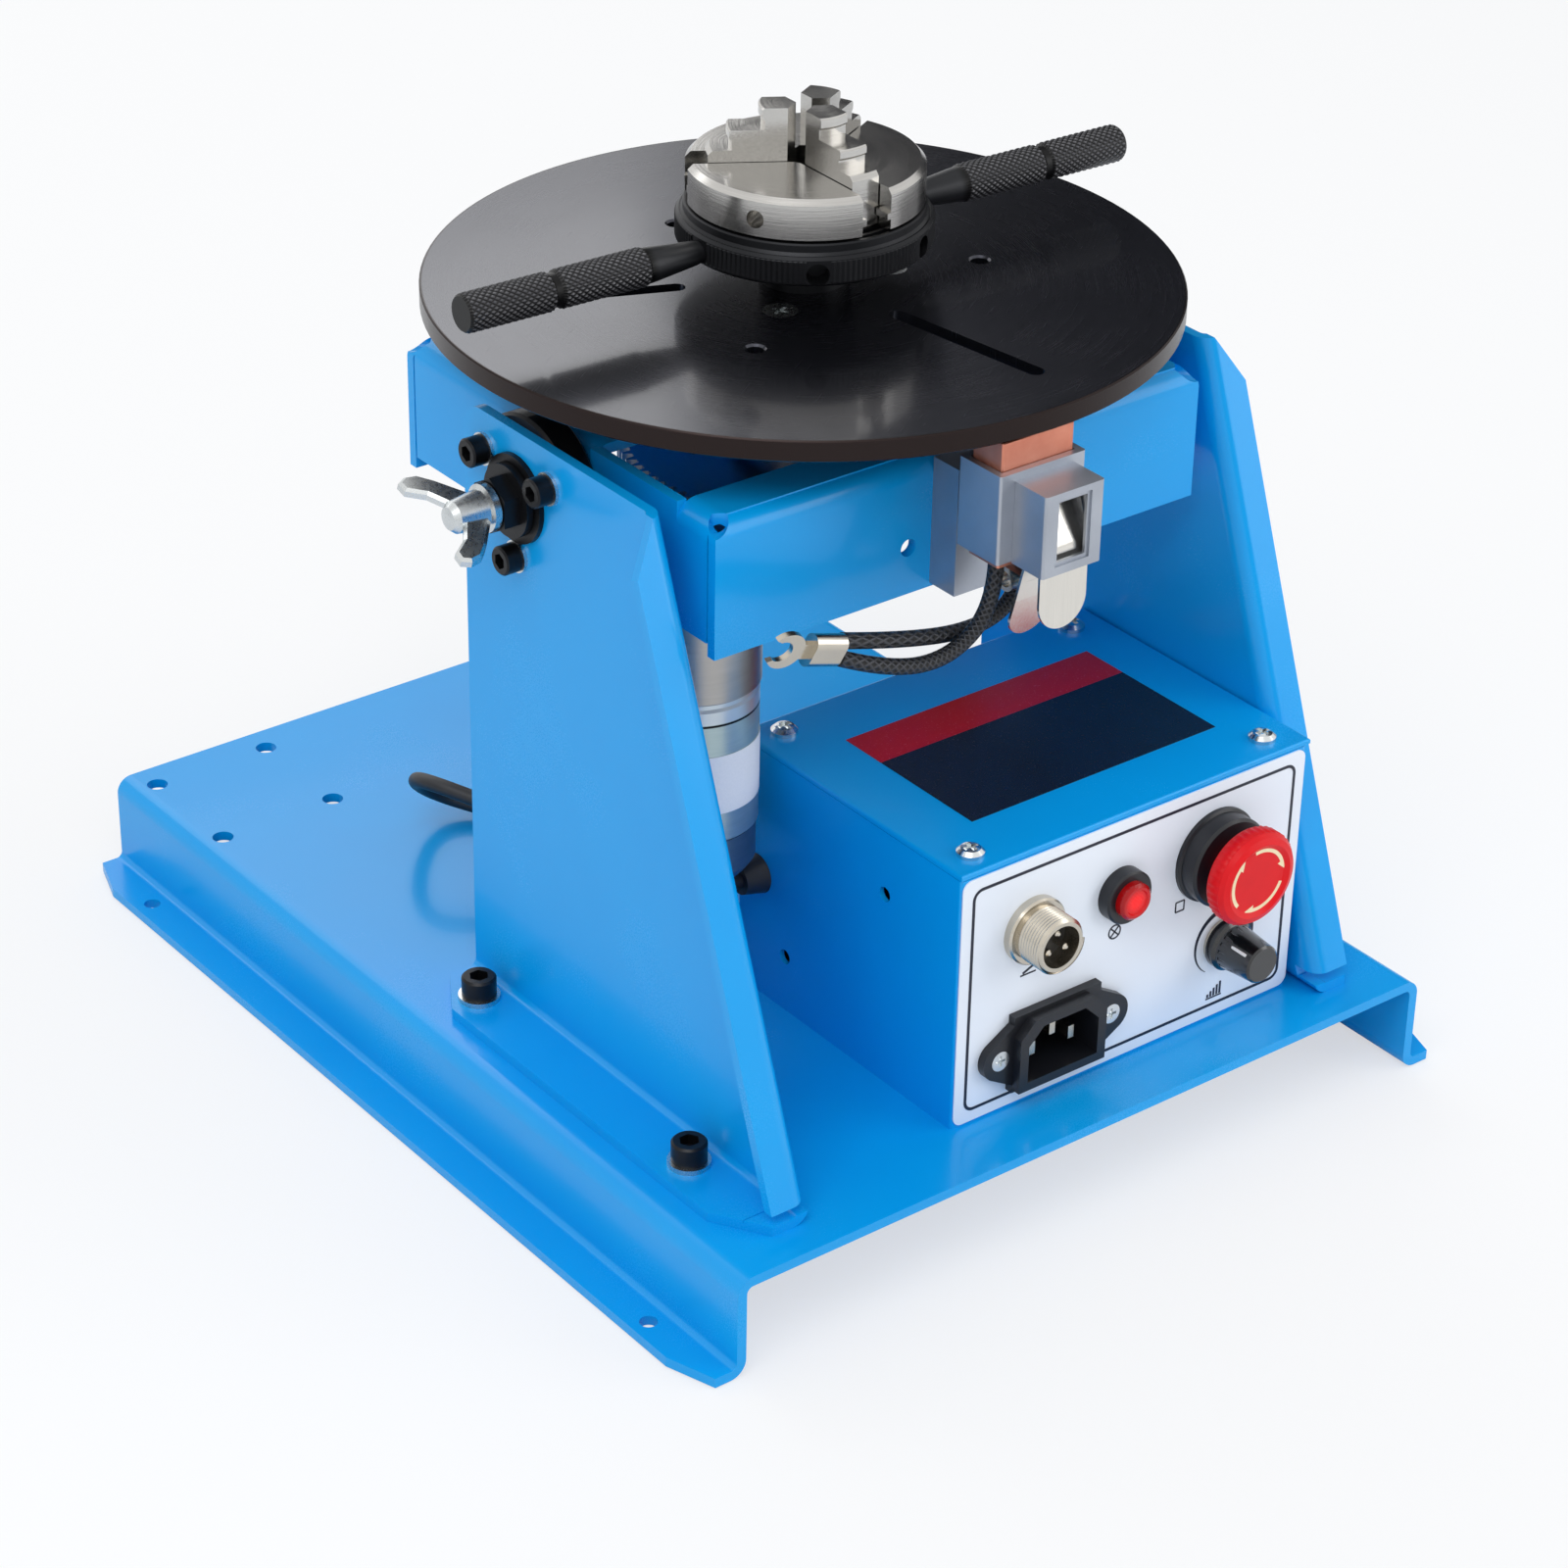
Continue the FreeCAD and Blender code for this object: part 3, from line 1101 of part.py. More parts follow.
def scroll_ring():
    """Ring that carries the spiral; it turns on the hub of the chuck body."""
    r, lip, bore = ring_diameter / 2, ring_lip / 2, hub_diameter / 2 + fit_gap
    crest = chuck_bottom - running_gap
    floor = scroll_floor
    outline = [(bore, ring_bottom), (r - 0.8, ring_bottom), (r, ring_bottom + 0.8), (r, ring_edge - 0.8),
               (r - 0.8, ring_edge), (lip + 0.6, ring_edge), (lip, ring_edge + 0.8), (lip, crest - 0.4),
               (lip - 0.4, crest), (lip - scroll_lip, crest), (lip - scroll_lip, floor), (bore, floor)]
    ring = turned(outline, vector())
    ridge = moved(scroll_ridge(), z=floor - 0.5)
    ring = ring.fuse(ridge)
    for k in range(6):
        hole = polar(r + 1, tommy_phase + 60 * k, tommy_z)
        inward = vector(-hole.x, -hole.y, 0).normalize()
        ring = ring.cut(rod(tommy_hole, hole, hole + inward * (tommy_depth + 1)))
    return moved(ring, y=pivot_y)


def jaw(angle):
    """Stepped jaw at its angle: wedge nose, two turned steps, side grooves and teeth beneath."""
    half, low, high = jaw_width / 2, chuck_bottom + jaw_clearance, chuck_top + jaw_height
    (first, rise), (second, lesser) = jaw_steps
    middle, lowest = chuck_top + rise, chuck_top + lesser
    cut = jaw_undercut
    outline = [(jaw_nose, low), (jaw_outer, low), (jaw_outer, lowest - 1.2), (jaw_outer - 1.2, lowest),
               (second - cut, lowest), (second - cut, lowest + 2.6), (second, lowest + 3.4),
               (second, middle - 0.5), (second - 0.5, middle), (first - cut, middle),
               (first - cut, middle + 2.6), (first, middle + 3.4), (first, high - 0.5),
               (first - 0.5, high), (jaw_nose, high)]
    wire = Part.makePolygon([vector(r, 0, h) for r, h in outline + outline[:1]])
    stepped = Part.Face(wire).revolve(vector(), z_axis, 120)
    stepped = spun(stepped, -60)
    shoulder = jaw_nose + half / math.tan(math.radians(60))
    beyond = jaw_outer + 1
    plan = [vector(jaw_nose, 0, 0), vector(shoulder, -half, 0), vector(beyond, -half, 0), vector(beyond, half, 0),
            vector(shoulder, half, 0)]
    body = stepped.common(prism(plan, z_axis * (high + 1)))
    thick, reach = jaw_tongue[1:]
    groove = thick / 2 + jaw_clearance
    for side in (-1, 1):
        inner, outer = sorted((side * (half - reach), side * (half + 1)))
        body = body.cut(block((0, beyond), (inner, outer),
                              (tongue_level - groove, tongue_level + groove)))
    radius = scroll_outer - scroll_pitch * (angle % 360) / 360 + scroll_pitch / 2
    while radius > tooth_limits[1]:
        radius -= scroll_pitch
    while radius > tooth_limits[0]:
        body = body.fuse(jaw_tooth(radius, half))
        radius -= scroll_pitch
    return moved(spun(body, angle), y=pivot_y)


def jaw_tooth(radius, half):
    """One tooth: a short piece of the scroll's own spiral, true at the middle of the jaw's travel."""
    shift = (ring_travel[0] + ring_travel[1]) / 2 / 360 * scroll_pitch
    edges = []
    for offset in (tooth_width / 2, -tooth_width / 2):
        row = []
        for i in range(7):
            angle = math.asin(half / (radius + shift)) * (i / 3 - 1)
            reach = radius + shift - scroll_pitch * angle / (2 * math.pi) + offset
            row.append(vector(reach * math.cos(angle) - shift, reach * math.sin(angle), 0))
        edges.append(row)
    bottom = scroll_floor + jaw_clearance
    top = chuck_bottom + jaw_clearance + 0.5
    ring = edges[0] + list(reversed(edges[1]))
    tooth = moved(prism(ring, z_axis * (top - bottom)), z=bottom)
    return tooth.common(block((0, jaw_outer), (-half, half), (bottom, top)))


def tommy_bar(angle):
    """Turned bar: knurled grip, cone and a plain tip seated in a hole of the ring."""
    r = bar_diameter / 2
    tip, shoulder = bar_tip / 2, ring_diameter / 2 + 1.2
    start = ring_diameter / 2 - tommy_depth + running_gap
    outline = [(0, start), (tip - 0.4, start), (tip, start + 0.4), (tip, shoulder), (tip + 0.3, shoulder),
               (bar_cone / 2, bar_knurl - 3), (r - 0.6, bar_knurl - 0.6), (r, bar_knurl),
               (r, bar_groove[0]), (r - bar_groove[2], bar_groove[0] + 0.6),
               (r - bar_groove[2], bar_groove[1] - 0.6), (r, bar_groove[1]),
               (r, bar_end - 1), (r - 1, bar_end), (0, bar_end)]
    direction = vector(math.cos(math.radians(angle)), math.sin(math.radians(angle)), 0)
    return turned(outline, vector(0, pivot_y, tommy_z), direction)



save("turntable", turntable())
save("table_screws", *table_screws())
save("spindle", spindle())
save("spindle_gear", spindle_gear())
nut_top = vector(0, pivot_y, gear_bottom)
save("spindle_nut", hexagon(spindle_nut[0], spindle_nut[1], nut_top, -z_axis).cut(
    rod(spindle_diameter, nut_top, nut_top - z_axis * 10)))
save("chuck_adapter", chuck_adapter())
save("chuck_body", chuck_body())
save("scroll_ring", scroll_ring())
for k in range(3):
    save("jaw_" + str(k + 1), jaw(jaw_phase - 120 * k))
save("tommy_bars", tommy_bar(tommy_phase + 180), tommy_bar(tommy_phase))


# ---- control box on the base ----
def panel_cutouts():
    """Openings of the front panel, as solids that run through panel and overlay."""
    start = box_front - 3
    cuts = []
    for x, z, diameter in panel_holes:
        cuts.append(rod(diameter, vector(x, start, z), vector(x, start + 8, z)))
    across, up = inlet_cutout
    cuts.append(block((inlet_x - across / 2, inlet_x + across / 2), (start, start + 8),
                      (inlet_z - up / 2, inlet_z + up / 2)))
    for side in (-1, 1):
        hole = vector(inlet_x + side * inlet_screw_pitch / 2, start, inlet_z)
        cuts.append(rod(3.2, hole, hole + y_axis * 8))
    return cuts


def control_box():
    """Welded tub with inward flanges that carry the lid."""
    lid_under = box_top - box_sheet - box_gap
    outer = rounded_block((box_left, box_right), (box_front, box_rear), (base_height, lid_under), box_corner)
    inner = rounded_block((box_left + box_sheet, box_right - box_sheet),
                          (box_front + box_sheet, box_rear - box_sheet),
                          (base_height + box_sheet, box_top), 0.4)
    tub = outer.cut(inner)
    for start, end in ((box_left + 0.5, box_left + box_flange), (box_right - box_flange, box_right - 0.5)):
        tub = tub.fuse(block((start, end), (box_front + 0.5, box_rear - 0.5), (lid_under - box_sheet, lid_under)))
    for cut in panel_cutouts():
        tub = tub.cut(cut)
    for y, z, diameter in side_holes + (lead_hole,):
        hole = vector(box_left - 1, y, z)
        tub = tub.cut(rod(diameter, hole, hole + x_axis * (box_sheet + 2)))
    for x, y in lid_screw_places():
        tub = tub.cut(rod(lid_screw[2], vector(x, y, lid_under - 2 * box_sheet), vector(x, y, box_top)))
    return tub


def lid_screw_places():
    left, right = box_left + box_screw_inset[0], box_right - box_screw_inset[0]
    front, rear = box_front + box_screw_inset[1], box_rear - box_screw_inset[1]
    return [(left, front), (right, front), (left, rear), (right, rear)]


def box_lid():
    lid = block((box_left, lid_right), (box_front, box_rear), (box_top - box_sheet, box_top))
    rims = [e for e in lid.Edges if e.CenterOfMass.z > box_top - 0.01]
    lid = lid.makeFillet(lid_round, rims)
    for x, y in lid_screw_places():
        hole = vector(x, y, box_top - 2 * box_sheet)
        lid = lid.cut(rod(lid_screw[2] + 0.4, hole, hole + z_axis * 3 * box_sheet))
    return lid


def lid_screws():
    head, height, shank, length = lid_screw
    places = [vector(x, y, box_top) for x, y in lid_screw_places()]
    return [cross_screw(head, height, shank, length, place, z_axis) for place in places]


def panel_overlay():
    left, right = box_left + overlay_inset, box_right - overlay_inset
    low, high = base_height + 0.8, box_top - box_sheet - box_gap - 0.4
    sheet_block = block((left, right), (box_front - overlay_thickness, box_front), (low, high))
    corners = [e for e in sheet_block.Edges if abs(e.tangentAt(e.FirstParameter).y) > 0.9]
    overlay = sheet_block.makeFillet(overlay_corner, corners)
    for cut in panel_cutouts():
        overlay = overlay.cut(cut)
    return overlay


def lid_label():
    width, depth = label_size
    x, y = label_centre
    plan = ((x - width / 2, x + width / 2), (y - depth / 2, y + depth / 2))
    return block(*plan, (box_top, box_top + label_thickness))


def forward_piece(outline, x, z):
    """Turned piece whose heights grow forwards from the face of the overlay."""
    return turned(outline, vector(x, panel_face, z), -y_axis)


def pedal_socket():
    """Screw-type connector: nut flange, barrel open to the front."""
    flange, barrel, bore, proud = socket_sizes
    behind, stem = -wall_depth - 6, socket_hole / 2 - fit_gap
    outline = [(bore / 2, behind), (stem, behind), (stem, 0),
               (flange / 2, 0), (flange / 2, 2.2), (flange / 2 - 0.5, 2.8), (barrel / 2, 2.8),
               (barrel / 2, proud - 0.6), (barrel / 2 - 0.6, proud), (bore / 2, proud)]
    shell = forward_piece(outline, socket_x, upper_row_z)
    insert = forward_piece([(0, -wall_depth - 10), (bore / 2, -wall_depth - 10), (bore / 2, proud - 6),
                            (0, proud - 6)], socket_x, upper_row_z)
    pins = []
    for angle in (90, 210, 330):
        foot = vector(socket_x + 3.4 * math.cos(math.radians(angle)), panel_face - proud + 6,
                      upper_row_z + 3.4 * math.sin(math.radians(angle)))
        pin = rod(1.9, foot, foot - y_axis * 4.2)
        tip = foot - y_axis * 4.2
        pins.append(pin.fuse(cone(1.9, 0.9, tip, tip - y_axis * 0.6)))
    return shell, insert, pins


def lamp():
    """Push-fit signal lamp: bezel tube with the lens standing out of it."""
    bezel, lens, reach = lamp_sizes
    behind, stem = -wall_depth - 14, lamp_hole / 2 - fit_gap
    outline = [(lens / 2, behind), (stem, behind), (stem, 0),
               (bezel / 2, 0), (bezel / 2, reach - 0.5), (bezel / 2 - 0.5, reach), (lens / 2, reach)]
    ring = forward_piece(outline, lamp_x, upper_row_z)
    top = reach + lamp_lens_proud
    glass = forward_piece([(0, behind), (lens / 2, behind), (lens / 2, top - 0.8),
                           (lens / 2 - 0.8, top), (lens / 2 - 1.6, top), (lens / 2 - 2.0, top - 0.5),
                           (0, top - 0.5)], lamp_x, upper_row_z)
    return ring, glass


def stop_collar():
    outer, reach, stem = stop_collar_sizes
    barrel = stop_hole / 2 - fit_gap
    outline = [(stem / 2 + running_gap, -wall_depth - 4), (barrel, -wall_depth - 4), (barrel, 0),
               (outer / 2 + 0.8, 0), (outer / 2 + 0.8, 1.2), (outer / 2, 1.6), (outer / 2, reach - 0.8),
               (outer / 2 - 0.8, reach), (stem / 2 + running_gap, reach)]
    return forward_piece(outline, stop_x, upper_row_z)


def stop_button():
    """Mushroom head on its stem; the head clears the collar by its own travel."""
    head, front = stop_head
    reach, stem = stop_collar_sizes[1:]
    under = reach + stop_travel + running_gap
    outline = [(0, -wall_depth - 4), (stem / 2, -wall_depth - 4), (stem / 2, under), (head / 2 - 2.6, under),
               (head / 2 - 0.4, under + 1.6), (head / 2, under + 2.4), (head / 2, front - 2.2),
               (head / 2 - 1.0, front - 0.9), (head / 2 - 2.8, front - 0.2), (head / 2 - 4.4, front - 1.2),
               (0, front - 1.2)]
    return forward_piece(outline, stop_x, upper_row_z)


def stop_contact():
    """Contact block behind the panel, with room for the stem to come in."""
    outer = stop_collar_sizes[0]
    back = box_front + box_sheet
    nut, length, half_height = stop_contact_sizes
    low, high = upper_row_z - half_height, upper_row_z + half_height
    body = block((stop_x - outer / 2, stop_x + outer / 2), (back + nut, back + length), (low, high))
    seat = vector(stop_x, back, upper_row_z)
    hollow = nut - 0.5
    pocket = rod(stop_collar_sizes[2] + 2, seat + y_axis * hollow, seat + y_axis * (hollow + stop_travel + 4))
    ring_nut = rod(outer - 1, seat, seat + y_axis * nut)
    ring_nut = ring_nut.cut(rod(stop_hole, seat - y_axis, seat + y_axis * hollow))
    return body.cut(pocket).fuse(ring_nut.cut(pocket))


def potentiometer():
    """Body behind the panel, bush with washer and nut in front, shaft inside the knob."""
    back = -wall_depth
    outline = [(0, back - 12), (8.2, back - 12), (8.2, back), (3.4, back), (3.4, 0), (pot_washer / 2, 0),
               (pot_washer / 2, 0.8), (5.4, 0.8), (5.4, 3.0), (3.4, 3.0), (3.4, 4.6), (3.0, 4.6), (3.0, 4.9),
               (0, 4.9)]
    return forward_piece(outline, knob_x, knob_z)


def speed_knob():
    """Fluted tapered knob with a skirt, hollow over the nut of the potentiometer."""
    skirt, grip, front, foot = knob_sizes
    outline = [(0, 5.2), (6.4, 5.2), (6.4, foot), (skirt / 2, foot), (skirt / 2, foot + 2.4),
               (skirt / 2 - 1.0, foot + 3.2), (grip / 2 + 0.4, foot + 3.6), (grip / 2 - 0.6, front - 0.6),
               (grip / 2 - 1.2, front), (0, front)]
    knob = forward_piece(outline, knob_x, knob_z)
    for flute in range(knob_flutes):
        angle = 2 * math.pi * (flute + 0.5) / knob_flutes
        reach = grip / 2 + 0.9
        start = vector(knob_x + reach * math.cos(angle), panel_face - foot - 3.8, knob_z + reach * math.sin(angle))
        knob = knob.cut(rod(1.6, start, start - y_axis * (front - foot)))
    return knob


def inlet():
    """Appliance inlet: flange with pointed ends, raised block and a chamfered cavity."""
    wide, high, thick = inlet_flange
    across, up, proud = inlet_block
    x, z = inlet_x, inlet_z
    level = panel_face
    half = inlet_screw_pitch / 2
    plate = block((x - across / 2, x + across / 2), (level - thick, level), (z - high / 2, z + high / 2))
    for side in (-1, 1):
        ear = vector(x + side * half, level, z)
        ear_radius = wide / 2 - half
        fan = prism([vector(x + side * across / 2 * 0.72, level, z - high / 2),
                     vector(ear.x + side * ear_radius * 0.62, level, z - ear_radius * 0.79),
                     vector(ear.x + side * ear_radius * 0.62, level, z + ear_radius * 0.79),
                     vector(x + side * across / 2 * 0.72, level, z + high / 2)], -y_axis * thick)
        plate = plate.fuse(fan).fuse(rod(2 * ear_radius, ear, ear - y_axis * thick))
    front = level - thick - proud
    slope = inlet_corner
    raised = prism([vector(x - across / 2, level, z - up / 2), vector(x + across / 2, level, z - up / 2),
                    vector(x + across / 2, level, z + up / 2 - slope),
                    vector(x + across / 2 - slope, level, z + up / 2),
                    vector(x - across / 2 + slope, level, z + up / 2),
                    vector(x - across / 2, level, z + up / 2 - slope)], -y_axis * (thick + proud))
    rear_body = block((x - 13.4, x + 13.4), (level, level + inlet_depth), (z - 9.8, z + 9.8))
    body = plate.fuse(raised).fuse(rear_body).removeSplitter()
    cave_x, cave_z, floor = inlet_cavity
    cavity = prism([vector(x - cave_x / 2, front - 1, z - cave_z / 2), vector(x + cave_x / 2, front - 1, z - cave_z / 2),
                    vector(x + cave_x / 2, front - 1, z + cave_z / 2 - slope),
                    vector(x + cave_x / 2 - slope, front - 1, z + cave_z / 2),
                    vector(x - cave_x / 2 + slope, front - 1, z + cave_z / 2),
                    vector(x - cave_x / 2, front - 1, z + cave_z / 2 - slope)], y_axis * (floor + 1))
    body = body.cut(cavity)
    screws, pins = [], []
    for side in (-1, 1):
        seat = vector(x + side * half, level, z)
        body = body.cut(rod(3.2, seat + y_axis, seat - y_axis * 9))
        body = body.cut(cone(3.2, 6.2, seat - y_axis * (thick - 1.6), seat - y_axis * thick))
        face = seat - y_axis * thick
        screw = cone(3.2, 6.0, face + y_axis * 1.6, face).fuse(rod(3.0, face + y_axis * 1.6, face + y_axis * 11))
        for size in ((1.7, 0.4), (0.4, 1.7)):
            screw = screw.cut(block((seat.x - size[0], seat.x + size[0]), (face.y - 1, face.y + 0.9),
                                    (z - size[1], z + size[1])))
        screws.append(screw)
    bottom = front + floor
    for px, pz in ((-7.0, -1.8), (0.0, 2.2), (7.0, -1.8)):
        pins.append(block((x + px - 1.0, x + px + 1.0), (bottom - 12.5, bottom + 6), (z + pz - 2.0, z + pz + 2.0)))
    for pin in pins:
        body = body.cut(pin)
    return body, screws, pins


def lead_grommet():
    y, z, diameter = lead_hole
    middle = vector(box_left, y, z)
    bore = lead_diameter / 2
    waist = diameter / 2 - fit_gap
    start = -grommet_size[1]
    outline = [(bore, start), (bore + 2, start), (waist, -0.2), (waist, box_sheet + 0.2),
               (grommet_size[0] / 2, box_sheet + 0.2), (grommet_size[0] / 2, box_sheet + 2.0),
               (bore, box_sheet + 2.0)]
    return turned(outline, middle, x_axis)


def supply_module():
    """Power supply in its can, on the floor of the box."""
    low = base_height + box_sheet
    body = block(supply_x, supply_y, (low, low + supply_height))
    edges = [e for e in body.Edges if abs(e.tangentAt(e.FirstParameter).z) > 0.9]
    return body.makeFillet(1.0, edges)


def speed_board():
    """Speed controller board on four pillars, with its larger parts."""
    low = base_height + box_sheet
    board = block(board_x, board_y, (low + pillar_height, low + pillar_height + 1.6))
    for x in (board_x[0] + 4, board_x[1] - 4):
        for y in (board_y[0] + 4, board_y[1] - 4):
            board = board.fuse(rod(5.5, vector(x, y, low), vector(x, y, low + pillar_height)))
    top = low + pillar_height + 1.6
    for x, y, diameter, height in board_cans:
        board = board.fuse(rod(diameter, vector(x, y, top), vector(x, y, top + height)))
    for x, y, size, height in board_blocks:
        board = board.fuse(block((x - size[0] / 2, x + size[0] / 2), (y - size[1] / 2, y + size[1] / 2),
                                 (top, top + height)))
    return board



socket_shell, socket_insert, socket_pins = pedal_socket()
lamp_bezel, lamp_lens = lamp()
inlet_body, inlet_screws, inlet_pins = inlet()
save("control_box", control_box())
save("box_lid", box_lid())
save("box_screws", *lid_screws(), *inlet_screws)
save("panel_overlay", panel_overlay())
save("lid_label", lid_label())
save("pedal_socket", socket_shell)
save("socket_insert", socket_insert)
save("contact_pins", *socket_pins, *inlet_pins)
save("lamp_bezel", lamp_bezel)
save("lamp_lens", lamp_lens)
save("stop_collar", stop_collar())
save("stop_button", stop_button())
save("stop_contact", stop_contact())
save("potentiometer", potentiometer())
save("speed_knob", speed_knob())
save("power_inlet", inlet_body)
save("lead_grommet", lead_grommet())
save("power_supply", supply_module())
save("speed_board", speed_board())


# ---- motor lead ----
save("motor_lead", tube(lead_route, lead_diameter, "motor lead"))
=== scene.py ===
import json
import math

import bmesh
import bpy
from mathutils import Matrix, Vector


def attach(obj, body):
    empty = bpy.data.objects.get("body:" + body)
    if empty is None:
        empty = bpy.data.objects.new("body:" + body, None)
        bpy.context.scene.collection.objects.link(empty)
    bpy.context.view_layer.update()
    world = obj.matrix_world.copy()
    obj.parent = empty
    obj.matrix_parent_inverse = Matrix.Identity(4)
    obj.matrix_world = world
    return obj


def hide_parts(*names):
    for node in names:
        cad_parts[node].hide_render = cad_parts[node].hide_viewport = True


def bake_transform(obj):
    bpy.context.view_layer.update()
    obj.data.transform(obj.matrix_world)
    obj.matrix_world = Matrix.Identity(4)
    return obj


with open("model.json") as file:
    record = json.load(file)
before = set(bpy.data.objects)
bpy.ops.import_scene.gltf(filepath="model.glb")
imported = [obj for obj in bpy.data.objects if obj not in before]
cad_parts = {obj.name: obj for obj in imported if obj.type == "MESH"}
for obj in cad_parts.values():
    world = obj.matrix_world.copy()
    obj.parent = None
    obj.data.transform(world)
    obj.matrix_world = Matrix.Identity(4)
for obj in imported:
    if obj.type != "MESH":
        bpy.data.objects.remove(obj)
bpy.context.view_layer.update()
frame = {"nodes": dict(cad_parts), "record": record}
cadNodes = frame["nodes"]
print("frame loaded,", len(cadNodes), "nodes")


# where the camera stands
view = {
    "place": (-0.6524, -0.8491, 0.6856),  # metres
    "turn": (59.80, -0.97, -37.56),  # degrees
    "lens": 96.4,
    "reach": (0.05, 50),  # nearest and furthest that it sees, in metres
}


def placeCamera():
    lens = bpy.data.cameras.new("camera")
    lens.lens = view["lens"]
    lens.clip_start, lens.clip_end = view["reach"]
    camera = bpy.data.objects.new("camera", lens)
    camera.location = view["place"]
    camera.rotation_euler = [math.radians(angle) for angle in view["turn"]]
    bpy.context.scene.collection.objects.link(camera)
    bpy.context.scene.camera = camera


placeCamera()
print("camera placed")


# tools for writing materials
def rgb(red, green, blue):
    # a colour as it looks on a screen, 0 to 255, made linear
    steps = [value / 255 for value in (red, green, blue)]
    return tuple(s / 12.92 if s < 0.04 else ((s + 0.055) / 1.055) ** 2.4 for s in steps) + (1.0,)


def darker(colour, share):
    return tuple(part * share for part in colour[:3]) + (1.0,)


class Wire:
    # one output of a node; sums with it add Math nodes
    def __init__(self, board, made, output=0):
        self.board = board
        self.made = made
        self.socket = made.outputs[output]

    def other(self, output):
        return Wire(self.board, self.made, output)

    def maths(self, operation, *values):
        return self.board.node("Math", {"operation": operation}, dict(enumerate((self, *values))))

    def __add__(self, value):
        return self.maths("ADD", value)

    def __radd__(self, value):
        return self.maths("ADD", value)

    def __sub__(self, value):
        return self.maths("SUBTRACT", value)

    def __rsub__(self, value):
        return self.maths("MULTIPLY", -1.0).maths("ADD", value)

    def __mul__(self, value):
        return self.maths("MULTIPLY", value)

    def __rmul__(self, value):
        return self.maths("MULTIPLY", value)

    def __gt__(self, value):
        return self.maths("GREATER_THAN", value)

    def __lt__(self, value):
        return self.maths("LESS_THAN", value)


class Board:
    # a node tree, and the one way to add a node to it
    def __init__(self, tree):
        self.tree = tree
        self.tree.nodes.clear()

    def node(self, kind, settings, sockets, output=0):
        made = self.tree.nodes.new("ShaderNode" + kind)
        for name, value in settings.items():
            setattr(made, name, value)
        for key, value in sockets.items():
            if isinstance(value, Wire):
                self.tree.links.new(value.socket, made.inputs[key])
            else:
                made.inputs[key].default_value = value
        return Wire(self, made, output)


class Paint(Board):
    # one material round one Principled shader
    def __init__(self, name, **constants):
        self.material = bpy.data.materials.new(name)
        self.material.use_nodes = True
        super().__init__(self.material.node_tree)
        self.shader = self.tree.nodes.new("ShaderNodeBsdfPrincipled")
        self.output = self.tree.nodes.new("ShaderNodeOutputMaterial")
        self.tree.links.new(self.shader.outputs[0], self.output.inputs[0])
        for socket, value in constants.items():
            self.shader.inputs[socket.replace("_", " ")].default_value = value

    def place(self, centre=(0, 0, 0), turn=(0, 0, 0), stretch=(1, 1, 1)):
        # the object's own coordinates in metres, moved to a centre, turned, then stretched
        own = self.node("TexCoord", {}, {}, 3)
        moved = {"Vector": own, "Location": centre, "Rotation": turn}
        centred = self.node("Mapping", {"vector_type": "TEXTURE"}, moved)
        return self.node("Mapping", {}, {"Vector": centred, "Scale": stretch})

    def split(self, vector):
        # x, y and z
        first = self.node("SeparateXYZ", {}, {0: vector})
        return first, first.other(1), first.other(2)

    def join(self, x, y, z):
        return self.node("CombineXYZ", {}, {0: x, 1: y, 2: z})

    def noise(self, vector, scale, detail=3.0, roughness=0.55):
        sockets = {"Vector": vector, "Scale": scale, "Detail": detail, "Roughness": roughness}
        return self.node("TexNoise", {}, sockets)

    def round(self, vector):
        # distance from the Z axis, angle round it and height
        x, y, z = self.split(vector)
        return (x * x + y * y).maths("SQRT"), y.maths("ARCTAN2", x), z

    def band(self, value, low, high):
        return self.node("MapRange", {"clamp": True}, {0: value, 1: low, 2: high, 3: 0.0, 4: 1.0})

    def mix(self, share, first, second):
        # sockets 6 and 7 are the two colours
        return self.node("Mix", {"data_type": "RGBA"}, {0: share, 6: first, 7: second}, 2)

    def bump(self, height, depth, strength=1.0):
        return self.node("Bump", {}, {"Height": height, "Distance": depth, "Strength": strength})

    def finish(self, colour, roughness=None, normal=None, **more):
        wanted = {"Base Color": colour, "Roughness": roughness, "Normal": normal}
        wanted.update({name.replace("_", " "): value for name, value in more.items()})
        for name, value in wanted.items():
            if isinstance(value, Wire):
                self.tree.links.new(value.socket, self.shader.inputs[name])
            elif value is not None:
                self.shader.inputs[name].default_value = value
        return self.material


# upright axes that the turned finishes run round
tableAxis = (0, -0.022, 0)
motorAxis = (-0.057, -0.050, 0)


enamel = {
    "colour": rgb(5, 164, 236),
    "deep": rgb(3, 154, 229),
    "orangePeel": 0.00003,  # metres of bump
    "gloss": 0.2,
}


def blueEnamel():
    paint = Paint("blueEnamel", Specular_IOR_Level=0.3, Coat_Weight=0.12, Coat_Roughness=0.06)
    spot = paint.place()
    cloud = paint.noise(spot, 22, 2)
    peel = paint.noise(spot, 620, 2, 0.4)
    dust = paint.noise(spot, 2600, 1)
    colour = paint.mix(cloud, enamel["deep"], enamel["colour"])
    gloss = enamel["gloss"] + cloud * 0.08 + dust * 0.04
    return paint.finish(colour, gloss, paint.bump(peel, enamel["orangePeel"], 0.5))


